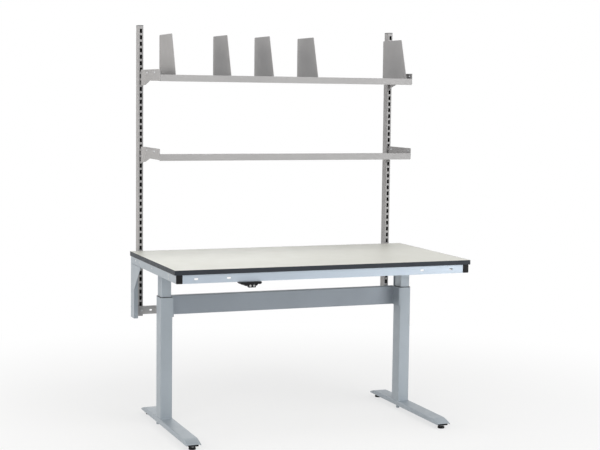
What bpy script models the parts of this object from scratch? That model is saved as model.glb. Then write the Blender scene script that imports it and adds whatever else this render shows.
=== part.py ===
"""Packing table with a motorised lift, two slotted uprights, two shelves and shelf dividers.

Metres, +Z up. The origin is on the floor, in the middle of the table's outer box.
-Y is the side where a person stands, and the uprights stand behind the board.
Heights and places are those of the table as photographed, with the lift partly raised.
"""

import math

import bmesh
import bpy
from mathutils import Vector

mm = 0.001
TURN = 2 * math.pi

# Clearances
GAP = 0.3 * mm  # between two pieces that touch
SLIDE_GAP = 0.4 * mm  # between a guide ring and the column that slides in it
CUT = 5 * mm  # how far a cutter runs past what it cuts

# Board and its edge strip
TABLE_WIDTH = 1500 * mm
TABLE_DEPTH = 800 * mm
TABLE_HEIGHT = 843 * mm
BOARD_THICKNESS = 22 * mm
EDGE_THICKNESS = 2 * mm
BOARD_CORNER = 3 * mm

# Lift
LOWEST_HEIGHT = 700 * mm
LIFT_STROKE = 400 * mm
COLUMN_INSET = 106.5 * mm  # from the board's side edge to a column's axis
COLUMN_SETBACK = 541 * mm  # from the board's front edge to the columns' axes

# Outer column
OUTER_WIDTH = 60 * mm
OUTER_DEPTH = 80 * mm
OUTER_WALL = 2.5 * mm
OUTER_LENGTH = 599 * mm
OUTER_CORNER = 5 * mm

# Guide ring between the two columns
RING_WALL = 1.8 * mm
RING_DEPTH = 50 * mm
COLLAR_HEIGHT = 2.5 * mm

# Inner column and the head welded to it
INNER_WALL = 2 * mm
INNER_CORNER = 4 * mm
INNER_BOTTOM_CLEARANCE = 33 * mm  # above the nut tube's flange, with the table at its lowest
HEAD_THICKNESS = 4 * mm
HEAD_LENGTH = 270 * mm
HEAD_MARGIN = 20 * mm  # how far the head reaches past the column on the knee side
HEAD_FLANGE_HEIGHT = 34 * mm

# Motor and spindle
MOTOR_CLEARANCE = 2 * mm  # between the motor and the inner column
MOTOR_LENGTH = 113 * mm
MOTOR_FLANGE_THICKNESS = 8 * mm
MOTOR_BORE_DEPTH = 22 * mm
SPINDLE_DIAMETER = 16 * mm
SPINDLE_STUB_DIAMETER = 10 * mm
SPINDLE_STUB_LENGTH = 20 * mm
SPINDLE_OVERRUN = 5 * mm  # below the nut, with the table at its highest

# Nut tube that stands in the outer column
NUT_FLANGE_THICKNESS = 8 * mm
NUT_TUBE_DIAMETER = 30 * mm
NUT_TUBE_BORE = 22 * mm
NUT_CLEARANCE = 5 * mm  # between the nut and the inner column
NUT_LENGTH = 40 * mm
NUT_HEADROOM = 10 * mm  # under the motor, with the table at its lowest

# Foot bar
FOOT_LENGTH = 800 * mm
FOOT_WIDTH = 72 * mm
FOOT_HEIGHT = 22.5 * mm
FOOT_SHEET = 3 * mm
FOOT_CLEARANCE = 22.5 * mm  # from the floor to the foot bar's lower edge
FOOT_SETBACK = 41 * mm  # from the board's front edge to the foot bar's front tip
FOOT_EDGE_RADIUS = 6 * mm
NOSE_LENGTH = 67 * mm
NOSE_TIP_HEIGHT = 7 * mm
NOSE_CURVE = 1.4  # 1 is a straight slope, more bulges upwards

# Bolt inside the foot bar that holds the column
BOLT_BOSS_DIAMETER = 34 * mm
BOLT_BOSS_RISE = 4 * mm  # from the foot bar's lower edge to the boss
BOLT_SHANK_DIAMETER = 12 * mm

# Insert in each nose, with the levelling pad and its stud
INSERT_WIDTH = 48 * mm
INSERT_LENGTH = 52 * mm
INSERT_SETBACK = 3 * mm
INSERT_ABOVE_HEX = 3.2 * mm  # from the stud's hexagon to the insert
PAD_DIAMETER = 34 * mm
PAD_HEIGHT = 10 * mm
PAD_CHAMFER = 2 * mm
PAD_SOCKET_DEPTH = 6 * mm
PAD_SETBACK = 27 * mm  # from the foot bar's tip to the pad's axis
STUD_DIAMETER = 10 * mm
STUD_HEX_DIAMETER = 19 * mm  # over the corners
STUD_HEX_HEIGHT = 4 * mm
STUD_HEADROOM = 2.8 * mm  # from the stud's top to the nose above it

# Crossbeam
BEAM_HEIGHT = 95 * mm
BEAM_DEPTH = 28 * mm
BEAM_SHEET = 2.5 * mm
BEAM_BEND_RADIUS = 5 * mm
BEAM_SETBACK = 71 * mm  # from the columns' front faces to the beam's face
BEAM_PLATE_THICKNESS = 6 * mm

# Side tubes and their caps
TUBE_WIDTH = 30 * mm
TUBE_HEIGHT = 40 * mm
TUBE_WALL = 2 * mm
TUBE_CORNER = 3 * mm
TUBE_INSET = 8 * mm  # from the board's side edge to the tube
TUBE_SETBACK = 5 * mm  # from the board's front and rear edges to the tube's ends
CAP_FACE = 4 * mm
CAP_PLUG = 15 * mm

# Front rail
RAIL_RECESS = 2 * mm  # behind the caps' faces
RAIL_SHEET = 2.5 * mm
RAIL_FLANGE = 30 * mm
RAIL_HOLE_LENGTH = 20 * mm
RAIL_HOLE_HEIGHT = 9 * mm
RAIL_OUTER_HOLE_INSET = 64.7 * mm  # from the rail's end to the hole's middle
RAIL_INNER_HOLE_INSET = 220.7 * mm

# Rear brackets
BRACKET_WIDTH = 21 * mm
BRACKET_SHEET = 2.5 * mm
BRACKET_DEPTH = 61 * mm
BRACKET_OVERHANG = 10 * mm  # behind the board's rear edge
BRACKET_HEIGHT = 312 * mm
GUSSET_RUN = 115 * mm
GUSSET_DROP = 127 * mm
GUSSET_TIP = 8 * mm

# Cross rails between the brackets
CROSS_HEIGHT = 40 * mm
CROSS_SHEET = 2 * mm
CROSS_INSET = 4 * mm  # from the brackets' outer faces to the rails' ends
LOWER_CROSS_RISE = 10 * mm  # above the brackets' lower ends
CROSS_HOLE_LENGTH = 14 * mm
CROSS_HOLE_HEIGHT = 8 * mm
CROSS_HOLE_INSET = 99 * mm  # from the rail's end to the hole's middle

# Uprights
UPRIGHT_WIDTH = 25 * mm
UPRIGHT_DEPTH = 50 * mm
UPRIGHT_WALL = 2 * mm
UPRIGHT_CORNER = 2.5 * mm
UPRIGHT_LENGTH = 1462 * mm
UPRIGHT_BELOW_BRACKET = 2 * mm
UPRIGHT_SETBACK = 30 * mm  # from the board's rear edge to the uprights' faces
UPRIGHT_INSET = 63.6 * mm  # from the board's side edge to the upright's middle
SLOT_PITCH = 32 * mm
SLOT_WIDTH = 12 * mm
SLOT_HEIGHT = 21 * mm
SLOT_MARGIN = 25 * mm  # from the upright's ends to the nearest slots' middles
UPRIGHT_CAP_THICKNESS = 3 * mm
UPRIGHT_CAP_PLUG = 10 * mm

# Shelves
SHELF_FRONT = 300 * mm  # from the uprights' faces forward to the shelf's lip
SHELF_SHEET = 2 * mm
LIP_HEIGHT = 32 * mm
LIP_DEPTH = 13 * mm
LIP_RISE = 12 * mm  # above the tray
SHELF_SIDE_FLANGE = 6 * mm
SHELF_SIDE_MARGIN = 16 * mm
SHELF_REAR_FLANGE = 16 * mm
SHELF_REAR_GAP = 4 * mm
UPPER_SHELF_SLOT_COUNT = 7  # slots above the one that its upper hook is in
LOWER_SHELF_SLOT_COUNT = 19
SHELF_ABOVE_SLOT = 5.9 * mm  # the lip's top edge over the middle of the upper hook's slot

# Shelf brackets
ARM_SHEET = 2 * mm
ARM_SIDE_CLEARANCE = 0.6 * mm  # between the arm's outer face and the upright's side face
ARM_RISE = 26 * mm  # above the lip
ARM_ABOVE_LIP_BOTTOM = 3.5 * mm  # from the lip's lower edge to the arm's
ARM_GUSSET_DROP = 28 * mm
ARM_GUSSET_RUN = 120 * mm
ARM_HEEL = 8 * mm
ARM_REAR_FLAT = 20 * mm  # the part in line with the slots
ARM_JOGGLE_RUN = 18 * mm  # where the sheet steps out to the slots
HOOK_NECK = 11.4 * mm
HOOK_TIP = 5 * mm
HOOK_DROP = 10 * mm  # below the slot's lower edge, behind the upright's face

# Dividers
DIVIDER_SHEET = 2 * mm
DIVIDER_RISE = 200 * mm  # above the lip
DIVIDER_TOP_SETBACK = 68 * mm
DIVIDER_FRONT_INSET = 2 * mm
DIVIDER_REAR_INSET = 4 * mm
DIVIDER_FOOT = 60 * mm
DIVIDER_CORNER = 6 * mm
DIVIDER_PLACE_SHARES = (0.0575, 0.268, 0.434, 0.6105, 0.977)  # of the shelf's width, from the left

# Handset and its buttons
HANDSET_WIDTH = 103 * mm
HANDSET_HEIGHT = 26 * mm
HANDSET_RIM = 6 * mm
HANDSET_CHAMFER = 5 * mm
HANDSET_STEP_WIDTH = 66 * mm
HANDSET_STEP_HEIGHT = 7 * mm
HANDSET_DEPTH = 50 * mm
HANDSET_REACH = 12 * mm  # in front of the board's edge
HANDSET_NOSE_MARGIN = 4.7 * mm  # from a button to the nose's side
HANDSET_NOSE_DEPTH = 15 * mm
HANDSET_NOSE_CHAMFER = 2 * mm
HANDSET_INSET = 360.5 * mm  # from the board's left edge to the handset's middle
BUTTON_DIAMETER = 9 * mm
BUTTON_GAP = 0.4 * mm
BUTTON_DEPTH = 6 * mm
BUTTON_PROUD = 1.6 * mm
BUTTON_TRAVEL = 1.2 * mm
BUTTON_SPACING = 18 * mm
BUTTONS_OFF_MIDDLE = 4.5 * mm  # to the right of the handset's middle
BUTTON_ABOVE_BOTTOM = 8.5 * mm

# Control box under the board
BOX_WIDTH = 260 * mm
BOX_DEPTH = 110 * mm
BOX_HEIGHT = 36 * mm
BOX_CORNER = 6 * mm
BOX_FROM_MIDDLE = 120 * mm
BOX_REAR_SETBACK = 60 * mm  # from the board's rear edge

# Rounding
ROUND_STEPS = 32
CORNER_STEPS = 3
NOSE_STEPS = 8

# Places that follow from the sizes above
rear_reach = UPRIGHT_SETBACK + UPRIGHT_DEPTH
front_reach = HANDSET_REACH + BUTTON_PROUD
front_y = -(TABLE_DEPTH + rear_reach - front_reach) / 2
rear_y = front_y + TABLE_DEPTH
column_x = TABLE_WIDTH / 2 - COLUMN_INSET
column_y = front_y + COLUMN_SETBACK
column_gap = OUTER_WALL + GAP + RING_WALL + SLIDE_GAP
inner_width = OUTER_WIDTH - 2 * column_gap
inner_depth = OUTER_DEPTH - 2 * column_gap
inner_bore = inner_width - 2 * INNER_WALL
foot_y = front_y + FOOT_SETBACK + FOOT_LENGTH / 2
foot_top = FOOT_CLEARANCE + FOOT_HEIGHT
stud_bottom = PAD_HEIGHT - PAD_SOCKET_DEPTH + GAP
outer_bottom = foot_top + GAP
outer_top = outer_bottom + OUTER_LENGTH
nut_flange_top = outer_bottom + NUT_FLANGE_THICKNESS
raised = TABLE_HEIGHT - LOWEST_HEIGHT
inner_bottom = nut_flange_top + INNER_BOTTOM_CLEARANCE + raised
board_bottom = TABLE_HEIGHT - BOARD_THICKNESS
head_top = board_bottom - GAP
head_bottom = head_top - HEAD_THICKNESS
motor_bottom = head_bottom - GAP - MOTOR_FLANGE_THICKNESS - MOTOR_LENGTH
nut_bottom = motor_bottom - raised - NUT_HEADROOM - NUT_LENGTH
spindle_bottom = nut_bottom - SPINDLE_OVERRUN - (LIFT_STROKE - raised)
frame_top = board_bottom - GAP
frame_bottom = frame_top - TUBE_HEIGHT
tube_outer_x = TABLE_WIDTH / 2 - TUBE_INSET
tube_x = tube_outer_x - TUBE_WIDTH / 2
upright_x = TABLE_WIDTH / 2 - UPRIGHT_INSET
arm_inner_x = upright_x - UPRIGHT_WIDTH / 2 - ARM_SIDE_CLEARANCE - ARM_SHEET
shelf_width = 2 * (arm_inner_x - GAP)
cap_y = front_y + TUBE_SETBACK
tube_start_y = cap_y + CAP_FACE + GAP
tube_end_y = rear_y - TUBE_SETBACK
bracket_rear_y = rear_y + BRACKET_OVERHANG
bracket_bottom = frame_top - BRACKET_HEIGHT
upright_bottom = bracket_bottom - UPRIGHT_BELOW_BRACKET
upright_top = upright_bottom + UPRIGHT_LENGTH
upright_face_y = rear_y + UPRIGHT_SETBACK
shelf_front_y = upright_face_y - SHELF_FRONT
slot_count = int((UPRIGHT_LENGTH - 2 * SLOT_MARGIN) / SLOT_PITCH) + 1


def slot_z(slots_above):
    """Height of a slot's middle, from the number of slots above it."""
    return upright_top - SLOT_MARGIN - slots_above * SLOT_PITCH


def lip_top(slots_above):
    """Height of the lip's top edge, from the number of slots above the shelf's upper hook."""
    return slot_z(slots_above) + SHELF_ABOVE_SLOT


# Shapes

def box_outline(u0, u1, v0, v1):
    return [Vector((u0, v0)), Vector((u1, v0)), Vector((u1, v1)), Vector((u0, v1))]


def arc(centre, radius, start, end, steps):
    """Points along a round stretch, both ends included."""
    points = []
    for i in range(steps + 1):
        angle = start + (end - start) * i / steps
        points.append(centre + radius * Vector((math.cos(angle), math.sin(angle))))
    return points


def rounded_box_outline(width, height, radius):
    """A rectangle about the origin with round corners."""
    u = width / 2 - radius
    v = height / 2 - radius
    points = []
    for turn, (su, sv) in enumerate(((1, 1), (-1, 1), (-1, -1), (1, -1))):
        start = turn * TURN / 4
        points += arc(Vector((su * u, sv * v)), radius, start, start + TURN / 4, CORNER_STEPS)
    return points


def circle_outline(radius, steps=ROUND_STEPS):
    """A circle about the origin."""
    return arc(Vector((0, 0)), radius, 0, TURN, steps)[:-1]


def long_hole_outline(length, height):
    """A hole with round ends about the origin, long along the first axis."""
    radius = height / 2
    reach = Vector((length / 2 - radius, 0))
    half = ROUND_STEPS // 4
    right = arc(reach, radius, -TURN / 4, TURN / 4, half)
    left = arc(-reach, radius, TURN / 4, TURN * 3 / 4, half)
    return right + left


def inner_radius(outer_radius, wall):
    """Corner radius on the inside of a wall, never quite sharp."""
    return max(outer_radius - wall, GAP)


def moved(outline, u, v):
    return [Vector(point) + Vector((u, v)) for point in outline]


def rounded_path(path, radius):
    """The path with each corner between its ends made round."""
    points = [Vector(path[0])]
    for before, corner, after in zip(path, path[1:], path[2:]):
        back = (Vector(before) - Vector(corner)).normalized()
        on = (Vector(after) - Vector(corner)).normalized()
        half = back.angle(on) / 2
        reach = radius / math.tan(half)
        centre = Vector(corner) + (back + on).normalized() * (radius / math.sin(half))
        first = Vector(corner) + back * reach - centre
        last = Vector(corner) + on * reach - centre
        sweep = first.angle_signed(last)
        start = math.atan2(first.y, first.x)
        points += arc(centre, radius, start, start - sweep, CORNER_STEPS)
    return points + [Vector(path[-1])]


def sheet(path, thickness):
    """The outline of a folded sheet: the path is one face, and the other lies to its left."""
    normals = []
    for a, b in zip(path, path[1:]):
        along = (Vector(b) - Vector(a)).normalized()
        normals.append(Vector((-along.y, along.x)))
    back = []
    for i, point in enumerate(path):
        before = normals[max(i - 1, 0)]
        after = normals[min(i, len(normals) - 1)]
        mitre = (before + after) / (1 + before.dot(after))
        back.append(Vector(point) + mitre * thickness)
    return [Vector(point) for point in path] + back[::-1]


def at(axis, u, v, along):
    """A point from its two outline coordinates and its place along the axis."""
    if axis == "X":
        return (along, u, v)
    if axis == "Y":
        return (u, along, v)
    return (u, v, along)


def loft(axis, rings, looped=False):
    """A closed mesh through rings of equally many points, each given as (outline, place on the axis)."""
    bm = bmesh.new()
    loops = []
    for outline, along in rings:
        loops.append([bm.verts.new(at(axis, point[0], point[1], along)) for point in outline])
    pairs = list(zip(loops, loops[1:]))
    if looped:
        pairs.append((loops[-1], loops[0]))
    for a, b in pairs:
        for i in range(len(a)):
            j = (i + 1) % len(a)
            bm.faces.new((a[i], a[j], b[j], b[i]))
    if not looped:
        bm.faces.new(loops[0])
        bm.faces.new(loops[-1])
    bmesh.ops.recalc_face_normals(bm, faces=bm.faces)
    mesh = bpy.data.meshes.new("shape")
    bm.to_mesh(mesh)
    bm.free()
    return mesh


def prism(axis, outline, start, end):
    return loft(axis, [(outline, start), (outline, end)])


def box(x0, x1, y0, y1, z0, z1):
    return prism("Z", box_outline(x0, x1, y0, y1), z0, z1)


def tube(axis, outer, inner, start, end):
    """A straight tube between an outer and an inner outline, open at both ends."""
    return loft(axis, [(outer, start), (outer, end), (inner, end), (inner, start)], looped=True)


def turned(profile, looped=False):
    """A piece turned about Z, from (radius, height) pairs."""
    return loft("Z", [(circle_outline(radius), height) for radius, height in profile], looped)


def joined(meshes):
    """One mesh that holds several separate shapes."""
    bm = bmesh.new()
    for mesh in meshes:
        bm.from_mesh(mesh)
        bpy.data.meshes.remove(mesh)
    whole = bpy.data.meshes.new("shapes")
    bm.to_mesh(whole)
    bm.free()
    return whole


def combined(mesh, tool_mesh, operation):
    """The mesh after one Boolean with the tool mesh."""
    subject = bpy.data.objects.new("subject", mesh)
    tool = bpy.data.objects.new("tool", tool_mesh)
    for obj in (subject, tool):
        bpy.context.scene.collection.objects.link(obj)
    boolean = subject.modifiers.new("boolean", "BOOLEAN")
    boolean.operation = operation
    boolean.solver = "EXACT"
    boolean.object = tool
    graph = bpy.context.evaluated_depsgraph_get()
    result = bpy.data.meshes.new_from_object(subject.evaluated_get(graph))
    for obj in (subject, tool):
        bpy.data.objects.remove(obj)
    for used in (mesh, tool_mesh):
        bpy.data.meshes.remove(used)
    return result


def added(mesh, *others):
    for other in others:
        mesh = combined(mesh, other, "UNION")
    return mesh


def cut(mesh, *tools):
    """The mesh less the tools, which don't overlap each other."""
    return combined(mesh, joined(tools), "DIFFERENCE")


# Materials

def finish(name, colour, roughness, metallic):
    material = bpy.data.materials.new(name)
    material.use_nodes = True
    shader = material.node_tree.nodes["Principled BSDF"]
    shader.inputs["Base Color"].default_value = (*colour, 1)
    shader.inputs["Roughness"].default_value = roughness
    shader.inputs["Metallic"].default_value = metallic
    material.diffuse_color = (*colour, 1)
    return material


def all_finishes():
    return {
        "silver_paint": finish("silver_paint", (0.36, 0.41, 0.46), 0.42, 0.25),
        "grey_paint": finish("grey_paint", (0.40, 0.40, 0.41), 0.5, 0.0),
        "rail_silver": finish("rail_silver", (0.45, 0.52, 0.6), 0.35, 0.3),
        "laminate": finish("laminate", (0.73, 0.73, 0.68), 0.4, 0.0),
        "edge_grey": finish("edge_grey", (0.06, 0.07, 0.08), 0.5, 0.0),
        "black_plastic": finish("black_plastic", (0.012, 0.012, 0.013), 0.5, 0.0),
        "dark_plastic": finish("dark_plastic", (0.05, 0.05, 0.055), 0.5, 0.0),
        "button_grey": finish("button_grey", (0.5, 0.5, 0.5), 0.5, 0.0),
        "steel": finish("steel", (0.45, 0.45, 0.46), 0.3, 1.0),
        "brass": finish("brass", (0.6, 0.45, 0.2), 0.35, 1.0),
    }


def add(name, mesh, material, parent, place, half_turn=False):
    """An object at a place in the world, carried by the parent empty."""
    mesh.name = name
    mesh.materials.clear()
    mesh.materials.append(material)
    mesh.shade_smooth()
    mesh.set_sharp_from_angle(angle=TURN / 12)
    obj = bpy.data.objects.new(name, mesh)
    obj.parent = parent
    obj.location = Vector(place) - parent.location
    if half_turn:
        obj.rotation_euler.z = TURN / 2
    bpy.context.scene.collection.objects.link(obj)
    return obj


def carrier(name, place):
    """An empty that carries one moving group."""
    empty = bpy.data.objects.new(name, None)
    empty.location = place
    empty.empty_display_size = TABLE_DEPTH / 4
    bpy.context.scene.collection.objects.link(empty)
    return empty


# Base

def nose_stations():
    """Distances from the foot bar's tip at which its nose bends."""
    return [NOSE_LENGTH * i / NOSE_STEPS for i in range(NOSE_STEPS + 1)]


def nose_height(distance):
    """Height of the foot bar's outer face at this distance from its tip, straight between stations."""
    steps = min(distance / NOSE_LENGTH, 1) * NOSE_STEPS
    last = min(int(steps), NOSE_STEPS - 1)
    before = 1 - (1 - last / NOSE_STEPS) ** NOSE_CURVE
    after = 1 - (1 - (last + 1) / NOSE_STEPS) ** NOSE_CURVE
    rise_share = before + (after - before) * (steps - last)
    return NOSE_TIP_HEIGHT + (FOOT_HEIGHT - NOSE_TIP_HEIGHT) * rise_share


def foot_section(height):
    """The bent sheet across the foot bar where it is this high."""
    side = FOOT_WIDTH / 2
    path = [(-side, 0), (-side, height), (side, height), (side, 0)]
    radius = min(FOOT_EDGE_RADIUS, height - GAP)
    return sheet(rounded_path(path, radius)[::-1], FOOT_SHEET)


def foot_bar_mesh():
    rings = []
    for distance in nose_stations():
        rings.append((foot_section(nose_height(distance)), distance - FOOT_LENGTH / 2))
    rings += [(section, -along) for section, along in reversed(rings)]
    hole = moved(circle_outline(BOLT_SHANK_DIAMETER / 2 + GAP), 0, column_y - foot_y)
    return cut(loft("Y", rings), prism("Z", hole, 0, FOOT_HEIGHT + CUT))


def insert_mesh():
    """The insert seen from the tip of the foot bar, which is at the origin, with its length along +Y."""
    near = INSERT_SETBACK
    far = INSERT_SETBACK + INSERT_LENGTH
    hex_top = PAD_HEIGHT + GAP + STUD_HEX_HEIGHT
    low = hex_top + INSERT_ABOVE_HEX - FOOT_CLEARANCE
    outline = [Vector((far, low)), Vector((near, low))]
    between = [station for station in nose_stations() if near < station < far]
    for distance in [near, *between, far]:
        outline.append(Vector((distance, nose_height(distance) - FOOT_SHEET - GAP)))
    half = INSERT_WIDTH / 2
    hole = moved(circle_outline(STUD_DIAMETER / 2 + GAP), 0, PAD_SETBACK)
    return cut(prism("X", outline, -half, half), prism("Z", hole, low - CUT, FOOT_HEIGHT + CUT))


def pad_mesh():
    radius = PAD_DIAMETER / 2
    socket = STUD_DIAMETER / 2 + GAP
    return turned([
        (radius, 0),
        (radius, PAD_HEIGHT - PAD_CHAMFER),
        (radius - PAD_CHAMFER, PAD_HEIGHT),
        (socket, PAD_HEIGHT),
        (socket, PAD_HEIGHT - PAD_SOCKET_DEPTH),
    ])


def stud_mesh():
    """The threaded stud, with its lower end in the pad's socket at height zero."""
    radius = STUD_DIAMETER / 2
    nose_above = FOOT_CLEARANCE + nose_height(PAD_SETBACK - radius) - FOOT_SHEET
    stud = prism("Z", circle_outline(radius), 0, nose_above - STUD_HEADROOM - stud_bottom)
    hexagon = circle_outline(STUD_HEX_DIAMETER / 2, 6)
    return added(stud, prism("Z", hexagon, PAD_SOCKET_DEPTH, PAD_SOCKET_DEPTH + STUD_HEX_HEIGHT))


def base_bolt_mesh():
    """The bolt that holds the column, with its boss's lower face at height zero."""
    boss_top = FOOT_HEIGHT - FOOT_SHEET - GAP - BOLT_BOSS_RISE
    shank_top = FOOT_HEIGHT + GAP + NUT_FLANGE_THICKNESS - BOLT_BOSS_RISE
    return turned([
        (BOLT_BOSS_DIAMETER / 2, 0),
        (BOLT_BOSS_DIAMETER / 2, boss_top),
        (BOLT_SHANK_DIAMETER / 2, boss_top),
        (BOLT_SHANK_DIAMETER / 2, shank_top),
    ])


def nut_tube_mesh():
    bolt_bore = BOLT_SHANK_DIAMETER / 2 + GAP
    nut_bore = SPINDLE_DIAMETER / 2 + GAP
    flange = OUTER_WIDTH / 2 - OUTER_WALL - GAP
    nut = inner_bore / 2 - NUT_CLEARANCE
    tube_top = nut_bottom - outer_bottom
    nut_top = tube_top + NUT_LENGTH
    return turned([
        (flange, 0),
        (flange, NUT_FLANGE_THICKNESS),
        (NUT_TUBE_DIAMETER / 2, NUT_FLANGE_THICKNESS),
        (NUT_TUBE_DIAMETER / 2, tube_top),
        (nut, tube_top),
        (nut, nut_top),
        (nut_bore, nut_top),
        (nut_bore, tube_top),
        (NUT_TUBE_BORE / 2, tube_top),
        (NUT_TUBE_BORE / 2, NUT_FLANGE_THICKNESS),
        (bolt_bore, NUT_FLANGE_THICKNESS),
        (bolt_bore, 0),
    ], looped=True)


def outer_column_mesh():
    outer = rounded_box_outline(OUTER_WIDTH, OUTER_DEPTH, OUTER_CORNER)
    wall = 2 * OUTER_WALL
    corner = inner_radius(OUTER_CORNER, OUTER_WALL)
    inner = rounded_box_outline(OUTER_WIDTH - wall, OUTER_DEPTH - wall, corner)
    return tube("Z", outer, inner, 0, OUTER_LENGTH)


def guide_ring_mesh():
    """The ring, with the outer column's top edge at height zero."""
    fit = 2 * (OUTER_WALL + GAP)
    sleeve_corner = inner_radius(OUTER_CORNER, OUTER_WALL)
    sleeve = rounded_box_outline(OUTER_WIDTH - fit, OUTER_DEPTH - fit, sleeve_corner)
    collar = rounded_box_outline(OUTER_WIDTH, OUTER_DEPTH, OUTER_CORNER)
    room = 2 * SLIDE_GAP
    bore = rounded_box_outline(inner_width + room, inner_depth + room, INNER_CORNER)
    top = GAP + COLLAR_HEIGHT
    return loft("Z", [
        (sleeve, -RING_DEPTH),
        (sleeve, GAP),
        (collar, GAP),
        (collar, top),
        (bore, top),
        (bore, -RING_DEPTH),
    ], looped=True)


def crossbeam_mesh():
    """The beam with its end plates. Its face is at y = 0 and its lower edge at z = 0."""
    path = [(BEAM_DEPTH, 0), (0, 0), (0, BEAM_HEIGHT), (BEAM_DEPTH, BEAM_HEIGHT)]
    outline = sheet(rounded_path(path, BEAM_BEND_RADIUS)[::-1], BEAM_SHEET)
    plate_outer = column_x - OUTER_WIDTH / 2 - GAP
    plate_inner = plate_outer - BEAM_PLATE_THICKNESS
    reach = plate_outer - BEAM_PLATE_THICKNESS / 2
    mesh = prism("X", outline, -reach, reach)
    for side in (-1, 1):
        xs = sorted((side * plate_inner, side * plate_outer))
        mesh = added(mesh, box(*xs, -BEAM_SETBACK, BEAM_DEPTH, 0, BEAM_HEIGHT))
    return mesh


def add_base(paint):
    frame = carrier("base_frame", (0, 0, 0))
    foot = foot_bar_mesh()
    insert = insert_mesh()
    outer = outer_column_mesh()
    ring = guide_ring_mesh()
    bolt = base_bolt_mesh()
    nut_tube = nut_tube_mesh()
    for name, side in (("left", -1), ("right", 1)):
        x = side * column_x
        add(f"foot_bar_{name}", foot, paint["silver_paint"], frame, (x, foot_y, FOOT_CLEARANCE))
        add(f"outer_column_{name}", outer, paint["silver_paint"], frame, (x, column_y, outer_bottom))
        add(f"guide_ring_{name}", ring, paint["dark_plastic"], frame, (x, column_y, outer_top))
        bolt_z = FOOT_CLEARANCE + BOLT_BOSS_RISE
        add(f"base_bolt_{name}", bolt, paint["steel"], frame, (x, column_y, bolt_z))
        add(f"nut_tube_{name}", nut_tube, paint["brass"], frame, (x, column_y, outer_bottom))
        for end, toward in (("front", -1), ("rear", 1)):
            tip = (x, foot_y + toward * FOOT_LENGTH / 2, FOOT_CLEARANCE)
            black = paint["black_plastic"]
            add(f"foot_insert_{end}_{name}", insert, black, frame, tip, half_turn=toward > 0)
    beam_place = (0, column_y - OUTER_DEPTH / 2 + BEAM_SETBACK, outer_top - BEAM_HEIGHT)
    add("crossbeam", crossbeam_mesh(), paint["silver_paint"], frame, beam_place)


def add_levelling(paint):
    pad = pad_mesh()
    stud = stud_mesh()
    for name, side in (("left", -1), ("right", 1)):
        for end, toward in (("front", -1), ("rear", 1)):
            y = foot_y + toward * (FOOT_LENGTH / 2 - PAD_SETBACK)
            axis = carrier(f"levelling_axis_{end}_{name}", (side * column_x, y, 0))
            add(f"levelling_pad_{end}_{name}", pad, paint["black_plastic"], axis, axis.location)
            stud_place = axis.location + Vector((0, 0, stud_bottom))
            add(f"levelling_stud_{end}_{name}", stud, paint["steel"], axis, stud_place)


# Lift

def inner_column_mesh(side):
    """The column and its head, with the column's lower end at height zero."""
    outer = rounded_box_outline(inner_width, inner_depth, INNER_CORNER)
    wall = 2 * INNER_WALL
    corner = inner_radius(INNER_CORNER, INNER_WALL)
    inner = rounded_box_outline(inner_width - wall, inner_depth - wall, corner)
    underside = head_bottom - inner_bottom
    top = head_top - inner_bottom
    column = tube("Z", outer, inner, 0, underside + HEAD_THICKNESS / 2)
    near = -inner_width / 2 - HEAD_MARGIN
    far = tube_outer_x - TUBE_WIDTH - GAP - column_x
    half = HEAD_LENGTH / 2
    plate_path = [(near, top), (far, top), (far, top - HEAD_FLANGE_HEIGHT)]
    head = sheet(plate_path, -HEAD_THICKNESS)
    head = [Vector((side * point.x, point.y)) for point in head]
    return added(column, prism("Y", head, -half, half))


def motor_mesh():
    """The motor with its gear end at height zero, open for the spindle's stub."""
    bore = SPINDLE_STUB_DIAMETER / 2 + GAP
    body = inner_bore / 2 - MOTOR_CLEARANCE
    flange = inner_bore / 2 - GAP
    return turned([
        (bore, MOTOR_BORE_DEPTH),
        (bore, 0),
        (body, 0),
        (body, MOTOR_LENGTH),
        (flange, MOTOR_LENGTH),
        (flange, MOTOR_LENGTH + MOTOR_FLANGE_THICKNESS),
    ])


def spindle_mesh():
    shoulder = motor_bottom - GAP - spindle_bottom
    return turned([
        (SPINDLE_DIAMETER / 2, 0),
        (SPINDLE_DIAMETER / 2, shoulder),
        (SPINDLE_STUB_DIAMETER / 2, shoulder),
        (SPINDLE_STUB_DIAMETER / 2, shoulder + SPINDLE_STUB_LENGTH),
    ])


def side_tube_mesh():
    outer = rounded_box_outline(TUBE_WIDTH, TUBE_HEIGHT, TUBE_CORNER)
    wall = 2 * TUBE_WALL
    corner = inner_radius(TUBE_CORNER, TUBE_WALL)
    inner = rounded_box_outline(TUBE_WIDTH - wall, TUBE_HEIGHT - wall, corner)
    return tube("Y", outer, inner, 0, tube_end_y - tube_start_y)


def tube_cap_mesh():
    face = rounded_box_outline(TUBE_WIDTH, TUBE_HEIGHT, TUBE_CORNER)
    fit = 2 * (TUBE_WALL + GAP)
    corner = inner_radius(TUBE_CORNER, TUBE_WALL)
    plug = rounded_box_outline(TUBE_WIDTH - fit, TUBE_HEIGHT - fit, corner)
    return loft("Y", [(face, 0), (face, CAP_FACE), (plug, CAP_FACE), (plug, CAP_FACE + CAP_PLUG)])


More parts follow.
